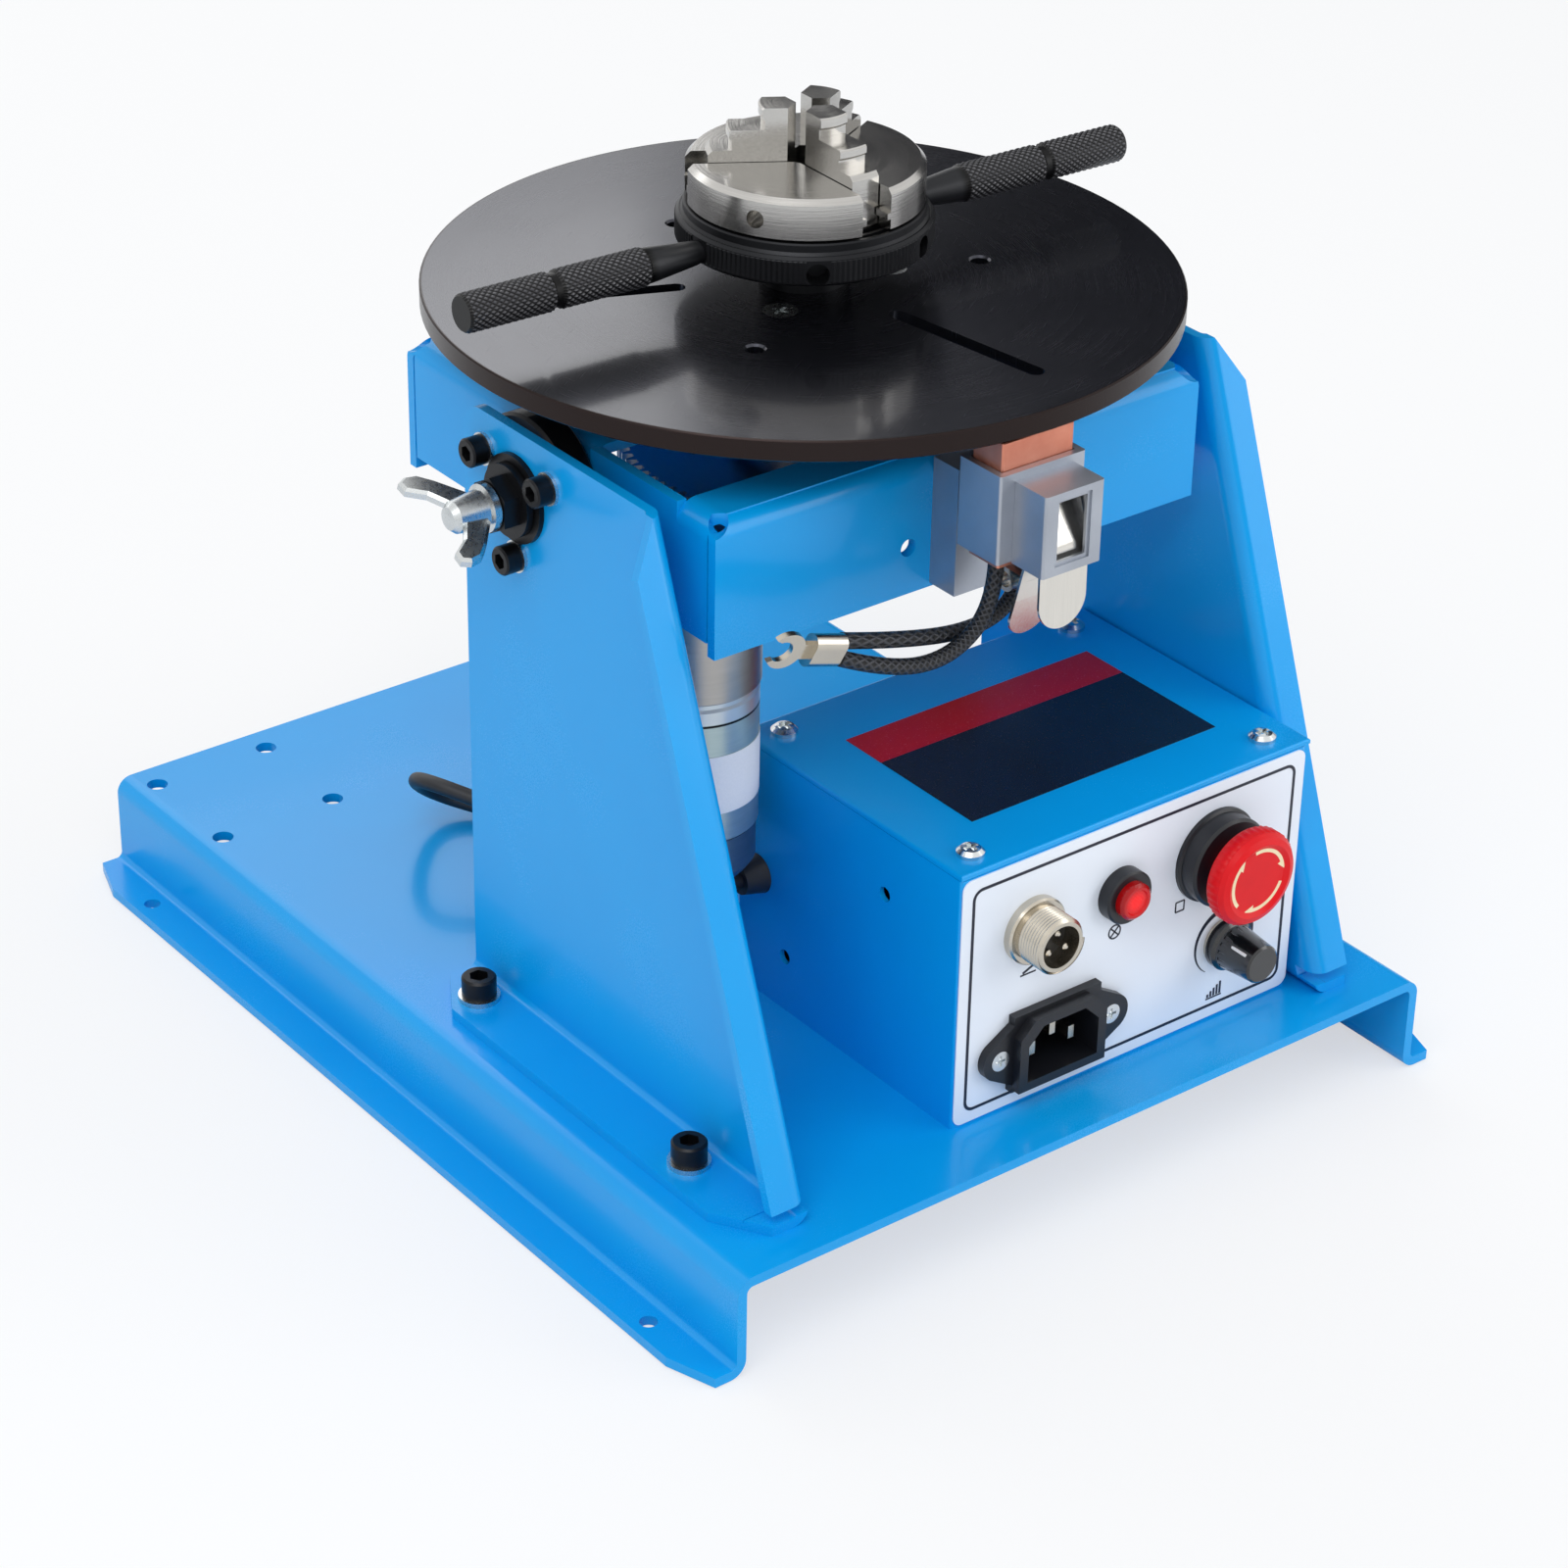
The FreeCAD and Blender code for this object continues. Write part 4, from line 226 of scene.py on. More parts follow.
def turnedMetal(name, colour, axis, metallic=1.0, gloss=(0.18, 0.34), fine=1500, depth=0.00002):
    # lathe or grinding marks that run round an axis
    paint = Paint(name, Metallic=metallic, Anisotropic=0.5)
    reach, angle, height = paint.round(paint.place(axis))
    marks = paint.noise(paint.join(reach * fine, angle * 1.5, height * fine), 1.0, 3, 0.6)
    wide = paint.noise(paint.join(reach * fine * 0.12, angle * 0.7, height * fine * 0.12), 1.0, 2)
    shade = paint.mix(marks, darker(colour, 0.78), colour)
    low, high = gloss
    roughness = low + marks * (high - low) * 0.6 + wide * (high - low) * 0.4
    return paint.finish(shade, roughness, paint.bump(marks, depth, 0.6))


def springSteel():
    # rolled strip with fine marks along its length
    paint = Paint("springSteel", Metallic=1.0)
    colour = rgb(226, 222, 214)
    marks = paint.noise(paint.place(stretch=(2200, 2200, 60)), 1.0, 3, 0.6)
    shade = paint.mix(marks, darker(colour, 0.8), colour)
    return paint.finish(shade, 0.14 + marks * 0.12, paint.bump(marks, 0.00002, 0.6))


def grainyMetal(name, colours, grain, gloss, metallic=1.0, depth=0.00002):
    # plated, cast or blackened metal with a fine even grain
    paint = Paint(name, Metallic=metallic)
    spot = paint.place()
    fine = paint.noise(spot, grain, 4, 0.6)
    wide = paint.noise(spot, 60, 2)
    low, high = gloss
    shade = paint.mix(wide, *colours)
    return paint.finish(shade, low + fine * (high - low), paint.bump(fine, depth, 0.5))


table = {
    "colour": rgb(44, 46, 54),
    "ringColour": rgb(72, 73, 82),
    "rim": rgb(38, 26, 20),
    "rimWidth": 0.0009,  # metres of bare brown edge
    "radius": 0.104,
    "coat": (0.5, 0.05),  # on the plate and on its rim
}


def darkTable():
    # blued steel plate: turned rings, a few stray scratches and a browned edge
    paint = Paint("darkTable", Metallic=0.9, Anisotropic=0.45, Coat_Roughness=0.1)
    spot = paint.place(tableAxis)
    reach, angle, _ = paint.round(spot)
    rings = paint.noise(paint.join(reach * 1500, angle * 2.2, 0.0), 1.0, 3, 0.65)
    sweep = paint.noise(paint.join(reach * 160, angle * 3.0, 0.0), 1.0, 2)
    cloud = paint.noise(spot, 26, 3)
    scratch = paint.noise(paint.place(tableAxis, (0, 0, 0.6), (60, 2600, 60)), 1.0, 2) > 0.7
    base = paint.mix(rings * 0.5 + sweep * 0.3, table["colour"], table["ringColour"])
    inner = table["radius"] - table["rimWidth"]
    edge = paint.band(reach, inner, inner + table["rimWidth"] * 0.5)
    colour = paint.mix(edge * 0.85, base, table["rim"])
    gloss = 0.17 + rings * 0.1 + cloud * 0.08 + scratch * 0.06
    faceCoat, rimCoat = table["coat"]
    coat = faceCoat - edge * (faceCoat - rimCoat)
    return paint.finish(colour, gloss, paint.bump(rings + scratch * 0.4, 0.00001, 0.35), Coat_Weight=coat)


can = {
    "plating": (rgb(166, 186, 184), rgb(190, 205, 202)),
    "neck": 0.1335,  # above this height the can is brighter
    "neckColour": rgb(205, 214, 218),
    "seam": (0.1330, 0.00035),  # its height and half its width
    "seamColour": rgb(18, 20, 22),
}


def motorBand():
    # zinc-plated can: pale green-grey with a seam line near its top
    paint = Paint("motorBand", Metallic=0.75)
    reach, angle, height = paint.round(paint.place(motorAxis))
    marks = paint.noise(paint.join(reach * 900, angle * 2, height * 1400), 1.0, 3)
    seamHeight, seamHalf = can["seam"]
    seam = (height - seamHeight).maths("ABSOLUTE") < seamHalf
    plated = paint.mix(height > can["neck"], paint.mix(marks, *can["plating"]), can["neckColour"])
    colour = paint.mix(seam, plated, can["seamColour"])
    return paint.finish(colour, 0.26 + marks * 0.14, paint.bump(marks, 0.00001, 0.5))


lidFilm = {
    "edge": -0.0793,  # where the red band meets the black field, in Y
    "field": (rgb(16, 22, 34), rgb(24, 31, 44)),
    "band": (rgb(176, 4, 16), rgb(190, 8, 22)),
}


def labelFilm():
    # printed film: dark red band at the back, black field in front
    paint = Paint("labelFilm", Specular_IOR_Level=0.35, Coat_Weight=0.1, Coat_Roughness=0.1)
    spot = paint.place()
    grain = paint.noise(spot, 1800, 2)
    inBand = paint.split(spot)[1] > lidFilm["edge"]
    colour = paint.mix(inBand, paint.mix(grain, *lidFilm["field"]), paint.mix(grain, *lidFilm["band"]))
    return paint.finish(colour, 0.22 + grain * 0.08, paint.bump(grain, 0.00001, 0.3))


# the two colours that each plain finish drifts between
shades = {
    "panel": (rgb(226, 234, 246), rgb(238, 243, 250)),
    "label": (rgb(226, 230, 236), rgb(240, 242, 246)),
    "rubber": (rgb(24, 26, 30), rgb(42, 44, 48)),
    "copper": (rgb(196, 112, 88), rgb(226, 158, 134)),
    "blackOxide": (rgb(34, 35, 38), rgb(24, 25, 28)),
    "zinc": (rgb(214, 216, 214), rgb(196, 202, 206)),
    "brightZinc": (rgb(226, 228, 228), rgb(206, 212, 214)),
    "castZinc": (rgb(182, 187, 196), rgb(156, 161, 170)),
    "nickel": (rgb(206, 198, 182), rgb(188, 182, 172)),
}


def panelFilm():
    paint = Paint("panelFilm", Coat_Weight=0.3, Coat_Roughness=0.15)
    spot = paint.place()
    wash = paint.noise(spot, 14, 1)
    grain = paint.noise(spot, 3200, 1)
    colour = paint.mix(wash, *shades["panel"])
    return paint.finish(colour, 0.32 + grain * 0.1, paint.bump(grain, 0.000008, 0.3))


def whiteLabel():
    paint = Paint("whiteLabel")
    grain = paint.noise(paint.place(), 1500, 3)
    colour = paint.mix(grain, *shades["label"])
    return paint.finish(colour, 0.45 + grain * 0.1, paint.bump(grain, 0.00001, 0.3))


def ink(name, colour):
    paint = Paint(name)
    grain = paint.noise(paint.place(), 1800, 2)
    return paint.finish(paint.mix(grain, colour, darker(colour, 0.85)), 0.42 + grain * 0.1)


def moulded(name, colour, gloss, coat=0.0, shine=0.5):
    # injection-moulded plastic: fine grain from the tool and faint flow marks
    paint = Paint(name, Coat_Weight=coat, Coat_Roughness=0.12, Specular_IOR_Level=shine)
    spot = paint.place()
    fine = paint.noise(spot, 1400, 2)
    flow = paint.noise(spot, 120, 3)
    shade = paint.mix(flow, darker(colour, 0.82), colour)
    return paint.finish(shade, gloss + fine * 0.12, paint.bump(fine, 0.00002, 0.4))


lampLens = {
    "centre": (0.0218, 0, 0.0865),
    "hotSpot": (0.0012, 0.0052),  # radii between which the glow fades
    "prisms": 5200,
    # the red of the moulding, and the brighter red of a painted glow at its middle
    "mouldingAndGlow": (rgb(150, 2, 6), rgb(226, 4, 8)),
    "glow": (rgb(110, 0, 2), rgb(255, 8, 8)),
    "strength": 0.3,
}


def redLens():
    # clear red moulding over a lamp, with a grid of small prisms inside its face; its colour is painted
    # brighter at the middle, a painted glow from the lamp
    paint = Paint("redLens", Specular_IOR_Level=0.25, Coat_Weight=0.2, Coat_Roughness=0.05,
                  Emission_Strength=lampLens["strength"])
    x, _, z = paint.split(paint.place(lampLens["centre"]))
    grid = (x * lampLens["prisms"]).maths("SINE") * (z * lampLens["prisms"]).maths("SINE")
    reach = (x * x + z * z).maths("SQRT")
    centre = 1 - paint.band(reach, *lampLens["hotSpot"])
    # painted glow: the base colour is brighter inside the hot spot
    colour = paint.mix(centre, *lampLens["mouldingAndGlow"])
    glow = paint.mix(centre, *lampLens["glow"])
    return paint.finish(colour, 0.2, paint.bump(grid, 0.00006, 0.4), Emission_Color=glow)


sleeve = {"along": 190, "around": 37.7, "shadedGaps": rgb(9, 10, 12), "strands": rgb(48, 50, 56)}


def braidWeave():
    # dark woven sleeve: two sets of strands that cross at a slant round the cord, with painted shade between
    # them
    paint = Paint("braidWeave", Metallic=0.25)
    run, turn, _ = paint.split(paint.node("TexCoord", {}, {}, "UV"))
    first = (run * sleeve["along"] + turn * sleeve["around"]).maths("SINE")
    second = (run * sleeve["along"] - turn * sleeve["around"]).maths("SINE")
    weave = first.maths("MAXIMUM", second)
    # painted shade: the colour darkens towards the low parts of the weave, between the strands
    colour = paint.mix(paint.band(weave, -0.2, 1.0), sleeve["shadedGaps"], sleeve["strands"])
    return paint.finish(colour, 0.5 - weave * 0.12, paint.bump(weave, 0.00018, 0.9))


def rubberJacket():
    paint = Paint("rubberJacket")
    grain = paint.noise(paint.place(), 900, 3)
    colour = paint.mix(grain, *shades["rubber"])
    return paint.finish(colour, 0.42 + grain * 0.15, paint.bump(grain, 0.00003, 0.4))


def circuitBoard():
    paint = Paint("circuitBoard", Coat_Weight=0.3)
    spot = paint.place()
    lacquer = {"Color1": rgb(10, 82, 44), "Color2": rgb(14, 96, 52), "Mortar": rgb(6, 60, 32)}
    tracks = paint.node("TexBrick", {}, {"Vector": spot, "Scale": 260.0, **lacquer})
    grain = paint.noise(spot, 800, 2)
    return paint.finish(tracks, 0.35 + grain * 0.15, paint.bump(grain, 0.00003, 0.3))


def copperBlock():
    # sawn copper block, dulled and dragged along its height where it slides
    paint = Paint("copperBlock", Metallic=0.85)
    drag = paint.noise(paint.place(stretch=(700, 700, 90)), 1.0, 4, 0.6)
    cloud = paint.noise(paint.place(), 130, 3)
    colour = paint.mix(cloud, *shades["copper"])
    return paint.finish(colour, 0.38 + drag * 0.2, paint.bump(drag, 0.00005, 0.5))


def makeFinishes():
    # one finish for each material slot of the frame
    bright = rgb(202, 200, 196)
    return {
        "blue_enamel": blueEnamel(),
        "dark_table": darkTable(),
        "ground_steel": turnedMetal("groundSteel", bright, tableAxis, gloss=(0.12, 0.26), fine=1700),
        "black_oxide": grainyMetal("blackOxide", shades["blackOxide"], 1500, (0.28, 0.46), metallic=0.7),
        "zinc": grainyMetal("zincPlate", shades["zinc"], 900, (0.2, 0.36)),
        "cast_zinc": grainyMetal("castZinc", shades["castZinc"], 1100, (0.34, 0.52), metallic=0.85,
                                 depth=0.00006),
        "spring_steel": springSteel(),
        "copper": copperBlock(),
        "gear_steel": turnedMetal("gearSteel", rgb(176, 178, 182), tableAxis, gloss=(0.26, 0.42), fine=1100),
        "motor_steel": turnedMetal("gearboxSteel", rgb(186, 182, 176), motorAxis, gloss=(0.22, 0.42),
                                   fine=800, depth=0.00003),
        "motor_grey": turnedMetal("capGrey", rgb(104, 128, 144), motorAxis, metallic=0.7,
                                  gloss=(0.3, 0.42), fine=700),
        "white_film": panelFilm(),
        "label_film": labelFilm(),
        "black_plastic": moulded("blackPlastic", rgb(22, 24, 30), gloss=0.32, coat=0.1, shine=0.4),
        "red_plastic": moulded("redPlastic", rgb(228, 4, 18), gloss=0.34, shine=0.28),
        "red_lens": redLens(),
        "nickel": grainyMetal("nickel", shades["nickel"], 1200, (0.16, 0.3), depth=0.00001),
        "rubber_black": rubberJacket(),
        "braid": braidWeave(),
        "board_green": circuitBoard(),
    }


finishes = makeFinishes()
slotOf = {part["node"]: part["material_slot"] for part in frame["record"]["subparts"]}


def dress(name, material):
    target = cadNodes[name]
    if not target.material_slots:
        target.data.materials.append(material)
    for slot in target.material_slots:
        slot.material = material


for nodeName, slotName in slotOf.items():
    dress(nodeName, finishes[slotName])
dress("motor_can", motorBand())
dress("speed_knob", moulded("knobPlastic", rgb(14, 16, 20), gloss=0.12, coat=0.6))
dress("spindle_bearings", turnedMetal("bearingSteel", rgb(200, 202, 206), tableAxis, gloss=(0.14, 0.24)))
dress("box_screws", grainyMetal("brightZinc", shades["brightZinc"], 700, (0.14, 0.28)))
print("finishes made")


# tools for making pieces
def smoothed(mesh, angle):
    mesh.polygons.foreach_set("use_smooth", [True] * len(mesh.polygons))
    mesh.set_sharp_from_angle(angle=math.radians(angle))
    return mesh


def makePiece(name, shape, body, material, smooth=40):
    # smooth is the angle in degrees above which an edge stays sharp
    bmesh.ops.recalc_face_normals(shape, faces=shape.faces)
    mesh = bpy.data.meshes.new(name)
    shape.to_mesh(mesh)
    shape.free()
    mesh.materials.append(material)
    thing = bpy.data.objects.new(name, smoothed(mesh, smooth))
    bpy.context.scene.collection.objects.link(thing)
    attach(thing, body)
    return thing


def madePoints(made):
    # the new vertices in what an extrude gives back
    return [item for item in made["geom"] if isinstance(item, bmesh.types.BMVert)]


def turnedShape(outline, steps):
    # spins an outline of (radius, height) pairs in metres round the Z axis
    shape = bmesh.new()
    points = [shape.verts.new((radius, 0, height)) for radius, height in outline]
    edges = [shape.edges.new(pair) for pair in zip(points, points[1:])]
    bmesh.ops.spin(shape, geom=points + edges, cent=(0, 0, 0), axis=(0, 0, 1), angle=2 * math.pi,
                   steps=steps, use_merge=True)
    bmesh.ops.remove_doubles(shape, verts=shape.verts, dist=1e-7)
    return shape


def ribbedBand(count, radius, swell, height, lip, sink):
    # an upright band with ribs round it, turned in at both ends; swell gives a point's share of growth
    shape = bmesh.new()
    bmesh.ops.create_circle(shape, segments=count, radius=radius)
    for index, point in enumerate(shape.verts):
        point.co *= 1 + swell(index)
    band = bmesh.ops.extrude_edge_only(shape, edges=shape.edges[:])
    bmesh.ops.translate(shape, verts=madePoints(band), vec=(0, 0, height))
    for level, lift in ((0.0, -lip), (height, lip)):
        edges = [e for e in shape.edges if e.is_boundary and abs(e.verts[0].co.z - level) < 1e-6]
        for point in madePoints(bmesh.ops.extrude_edge_only(shape, edges=edges)):
            flat = Vector((point.co.x, point.co.y, 0)).normalized() * (radius - sink)
            point.co = (flat.x, flat.y, level + lift)
    return shape


def lay(shape, matrix):
    bmesh.ops.transform(shape, matrix=matrix, verts=shape.verts)
    return shape


def along(direction, start):
    # turns the Z axis to a direction and moves it to a start point
    return Matrix.Translation(start) @ Vector(direction).to_track_quat("Z", "Y").to_matrix().to_4x4()


def wave(value):
    # triangle wave between 0 and 1 with a period of 1
    return abs((value % 1.0) * 2 - 1)


# cords: the control points of their lines, and what each one is, in metres
cords = {
    "motorLead": {
        "points": [
            (-0.057, -0.050, 0.078), (-0.057, -0.050, 0.060), (-0.050, -0.030, 0.044), (-0.040, 0.000, 0.043),
            (-0.041, 0.022, 0.0456), (-0.056, 0.0455, 0.0512), (-0.0728, 0.0715, 0.057),
            (-0.0544, 0.0881, 0.0362), (-0.0365, 0.061, 0.0333), (-0.036, 0.030, 0.0333),
            (-0.048, 0.000, 0.0333), (-0.068, -0.024, 0.034), (-0.080, -0.048, 0.038),
            (-0.080, -0.0525, 0.065), (-0.054, -0.0515, 0.0697), (-0.042, -0.0515, 0.0697),
        ],
        "node": "motor_lead", "body": "base", "diameter": 0.0048, "length": 0.386, "far": "object",
        "stiffness": "limp", "slot": "rubber_black", "with": [],
        # its end at the motor sits on the tray; the stretch between these two points is cut into rings
        "follows": ("tilt_frame", (-0.057, -0.050, 0.0728), (-0.057, -0.050, 0.0778)), "rings": 20,
    },
    "frontBraid": {
        "points": [
            (-0.0118, -0.120, 0.1906), (-0.0118, -0.120, 0.1768), (-0.0255, -0.1202, 0.1659),
            (-0.0455, -0.120, 0.168), (-0.062, -0.1184, 0.1764),
        ],
        "node": "front_braid", "body": "brush", "diameter": 0.0044, "length": 0.068, "far": "fitting",
        "stiffness": "medium", "slot": "braid", "with": ["fork_lug"],
    },
    "rearBraid": {
        "points": [
            (0.0018, -0.1152, 0.1906), (0.0018, -0.1152, 0.1764), (-0.0085, -0.1144, 0.1678),
            (-0.034, -0.1166, 0.1718), (-0.061, -0.118, 0.1809),
        ],
        "node": "rear_braid", "body": "brush", "diameter": 0.0044, "length": 0.082, "far": "fitting",
        "stiffness": "medium", "slot": "braid", "with": ["fork_lug"],
    },
}


def addRings(mesh, low, high, count):
    # cuts a mesh at even heights, so that this stretch of it can bend
    shape = bmesh.new()
    shape.from_mesh(mesh)
    for index in range(count + 1):
        height = low + (high - low) * index / count
        whole = shape.verts[:] + shape.edges[:] + shape.faces[:]
        bmesh.ops.bisect_plane(shape, geom=whole, plane_co=(0, 0, height), plane_no=(0, 0, 1))
    shape.to_mesh(mesh)
    shape.free()


def cordCurve(name, facts):
    curve = bpy.data.curves.new(name, "CURVE")
    curve.dimensions = "3D"
    curve.bevel_depth = facts["diameter"] / 2
    curve.bevel_resolution = 8
    curve.resolution_u = 16
    curve.use_fill_caps = True
    spline = curve.splines.new("NURBS")
    spline.points.add(len(facts["points"]) - 1)
    for point, place in zip(spline.points, facts["points"]):
        point.co = (*place, 1.0)
    spline.order_u = 3
    spline.use_endpoint_u = True
    curve.materials.append(finishes[facts["slot"]])
    return curve


def bendingTube(name, curve, facts):
    # the cord as a mesh, cut into rings near its first end, with its centre line
    _, start, end = facts["follows"]
    drawn = bpy.data.objects.new(name, curve)
    curve.bevel_depth = 0
    path = [tuple(point.co) for point in bpy.data.meshes.new_from_object(drawn).vertices]
    curve.bevel_depth = facts["diameter"] / 2
    tube = bpy.data.meshes.new_from_object(drawn)
    bpy.data.objects.remove(drawn)
    addRings(tube, start[2], end[2], facts["rings"])
    return smoothed(tube, 60), path


def layCord(name, facts):
    line = cordCurve(name, facts)
    path = None
    if "follows" in facts:
        line, path = bendingTube(name, line, facts)
    cord = bpy.data.objects.new(name, line)
    bpy.context.scene.collection.objects.link(cord)
    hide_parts(facts["node"])
    if "follows" in facts:
        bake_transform(cord)
    else:
        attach(cord, facts["body"])


for cordName, cordFacts in cords.items():
    layCord(cordName, cordFacts)
print("cords laid")


# the two tommy bars, in metres; places along a bar are counted from the table's axis
bars = {
    "height": 0.2472,
    "angles": (178, -2),
    "radius": 0.0055,
    "end": 0.1085,
    "shank": (  # radius and place of each point up to the grip
        (0, 0.0286), (0.0026, 0.0286), (0.003, 0.029), (0.003, 0.036), (0.0033, 0.036),
        (0.00475, 0.050), (0.0049, 0.0524),
    ),
    "cone": 0.050,  # where the smooth cone ends
    "grip": 0.053,
    "groove": (0.0795, 0.0825),
    "grooveDepth": 0.0009,
    "grooveSlope": 0.0006,
    "chamfer": 0.0008,
    "starts": 20,  # threads of the knurl each way
    "lead": 0.0021,
    "depth": 0.00045,
    "columns": 120,  # points round a bar
    "rows": 6,  # points along it in each lead
    "shankColour": rgb(36, 37, 40),
    # the grooves' colour is a painted shade, darker than the shank; the points' colour is rubbed wear
    "gripColour": (rgb(5, 5, 6), rgb(104, 104, 108)),  # in the grooves and on the points
}


def knurledSteel():
    # blackened steel: darker than the shank in the grooves of the knurl as a painted shade, and rubbed
    # brighter on its points by wear
    paint = Paint("knurledSteel", Metallic=0.55)
    spot = paint.place((0, tableAxis[1], bars["height"]), (0, 0, math.radians(bars["angles"][1])))
    x, y, z = paint.split(spot)
    reach = (y * y + z * z).maths("SQRT")
    # painted shade in the grooves and wear on the points, set by the distance from the bar's axis
    wornAndShaded = paint.band(reach, bars["radius"] - bars["depth"] * 0.85, bars["radius"] - bars["depth"] * 0.1)
    gripped = paint.band(x.maths("ABSOLUTE"), bars["cone"], bars["cone"] + 0.002)
    fine = paint.noise(spot, 1500, 3)
    colour = paint.mix(gripped, bars["shankColour"], paint.mix(wornAndShaded, *bars["gripColour"]))
    return paint.finish(colour, 0.3 + fine * 0.14, paint.bump(fine, 0.00002, 0.4))


def gripRows(low, high):
    # outline points close enough together to carry the knurl
    step = bars["lead"] / bars["rows"]
    return [(bars["radius"], low + step * index) for index in range(int((high - low) / step) + 1)]


def cutKnurl(shape):
    for point in shape.verts:
        reach = math.hypot(point.co.x, point.co.y)
        if reach > bars["radius"] - 0.0001:
            turn = math.atan2(point.co.y, point.co.x) / (2 * math.pi) * bars["starts"]
            run = point.co.z / bars["lead"]
            crest = min(wave(turn + run), wave(turn - run))
            scale = 1 - bars["depth"] * (1 - crest) / bars["radius"]
            point.co.x *= scale
            point.co.y *= scale
    return shape


def knurledBar(angle):
    radius, end, chamfer = bars["radius"], bars["end"], bars["chamfer"]
    grooveStart, grooveEnd = bars["groove"]
    bottom, slope = radius - bars["grooveDepth"], bars["grooveSlope"]
    outline = [*bars["shank"], *gripRows(bars["grip"], grooveStart)]
    outline += [(bottom, grooveStart + slope), (bottom, grooveEnd - slope)]
    outline += gripRows(grooveEnd, end - chamfer)
    outline += [(radius - chamfer, end), (0, end)]
    heading = (math.cos(math.radians(angle)), math.sin(math.radians(angle)), 0)
    bar = cutKnurl(turnedShape(outline, bars["columns"]))
    return lay(bar, along(heading, (0, tableAxis[1], bars["height"])))


barSteel = knurledSteel()
for number, barAngle in enumerate(bars["angles"]):
    barName = "knurledBar" + str(number + 1)
    knurled = makePiece(barName, knurledBar(barAngle), "scroll", barSteel, smooth=20)
    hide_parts("tommy_bars")


ring = {
    "radius": 0.0348,
    "low": 0.2450,
    "high": 0.2508,
    "ridges": 150,
    "depth": 0.0003,
    "proud": 0.00002,  # how far the knurl stands off the rim that carries it
    "lip": 0.0004,
    "sink": 0.00022,
    "holes": 6,
    "holeAngle": -2,
    "holeGap": 0.0033,  # half the width left free at a hole
}


def ringKnurl():
    # fine straight knurl round the rim of the scroll ring
    def swell(index):
        return ring["depth"] / ring["radius"] if index % 2 else 0.0

    shape = ribbedBand(ring["ridges"] * 2, ring["radius"] + ring["proud"], swell, ring["high"] - ring["low"],
                       ring["lip"], ring["sink"])
    return lay(shape, Matrix.Translation((0, tableAxis[1], ring["low"])))


def cutTommyHoles(shape):
    # leaves the knurl off where the tommy holes open in the rim
    step = 360 / ring["holes"]
    gone = []
    for face in shape.faces:
        middle = face.calc_center_median() - Vector(tableAxis)
        turn = math.degrees(math.atan2(middle.y, middle.x))
        nearest = (turn - ring["holeAngle"] + step / 2) % step - step / 2
        if abs(math.radians(nearest)) * ring["radius"] < ring["holeGap"]:
            gone.append(face)
    bmesh.ops.delete(shape, geom=gone, context="FACES")
    return shape


ringRim = cutTommyHoles(ringKnurl())
makePiece("ringKnurl", ringRim, "scroll", finishes["black_oxide"], smooth=20)
print("chuck pieces made")


# film on the front of the control box; face is its level in Y
panel = {
    "face": -0.1392,
    "left": -0.0346,
    "right": 0.0891,
    "low": 0.0315,
    "high": 0.1092,
    "inset": 0.0034,
    "line": 0.0009,
    "corner": 0.0034,
    "film": 0.00012,
}
navy = ink("navyInk", rgb(16, 22, 44))
cream = ink("creamInk", rgb(248, 232, 190))
white = ink("whiteInk", rgb(236, 238, 240))


def standing(shape, x, z, proud=0.0):
    # a flat shape drawn in XY is stood up on the panel at (x, z), facing forwards
    turn = Matrix.Rotation(math.radians(90), 4, "X")
    return lay(shape, Matrix.Translation((x, panel["face"] - proud, z)) @ turn)


def thicken(shape, height):
    # gives flat faces drawn in XY a thickness towards +Z
    made = bmesh.ops.extrude_face_region(shape, geom=shape.faces[:])
    bmesh.ops.translate(shape, verts=madePoints(made), vec=(0, 0, height))
    return shape


def plate(*corners):
    shape = bmesh.new()
    shape.faces.new([shape.verts.new((x, y, 0)) for x, y in corners])
    return shape


def rectangle(width, height):
    x, y = width / 2, height / 2
    return plate((-x, -y), (x, -y), (x, y), (-x, y))


def roundedLine(width, height, corner, line):
    # an even line along a rounded rectangle
    shape = rectangle(width, height)
    bmesh.ops.bevel(shape, geom=shape.verts[:], offset=corner, offset_type="OFFSET", segments=8, profile=0.5,
                    affect="VERTICES", material=-1)
    made = bmesh.ops.inset_region(shape, faces=shape.faces[:], thickness=line, use_even_offset=True,
                                  use_boundary=True)
    rimFaces = set(made["faces"])
    bmesh.ops.delete(shape, geom=[f for f in shape.faces if f not in rimFaces], context="FACES")
    return shape


def sweep(shape, start, end, steps):
    # spins an edge round the Z axis between two angles in degrees
    turn = Matrix.Rotation(math.radians(start), 3, "Z")
    bmesh.ops.rotate(shape, verts=shape.verts, cent=(0, 0, 0), matrix=turn)
    bmesh.ops.spin(shape, geom=shape.verts[:] + shape.edges[:], cent=(0, 0, 0), axis=(0, 0, 1),
                   angle=math.radians(end - start), steps=steps)
    return shape


def arc(radius, width, start, end, steps=24, taper=None):
    # a flat arc between two angles in degrees; taper is the width at its far end
    shape = bmesh.new()
    shape.edges.new([shape.verts.new((reach, 0, 0)) for reach in (radius - width / 2, radius + width / 2)])
    sweep(shape, start, end, steps)
    if taper is not None:
        for point in shape.verts:
            turn = (math.degrees(math.atan2(point.co.y, point.co.x)) - start) % 360
            share = min(turn / (end - start), 1.0)
            scale = 1 + share * (taper / width - 1)
            reach = point.co.length
            point.co *= (radius + (reach - radius) * scale) / reach
    return shape


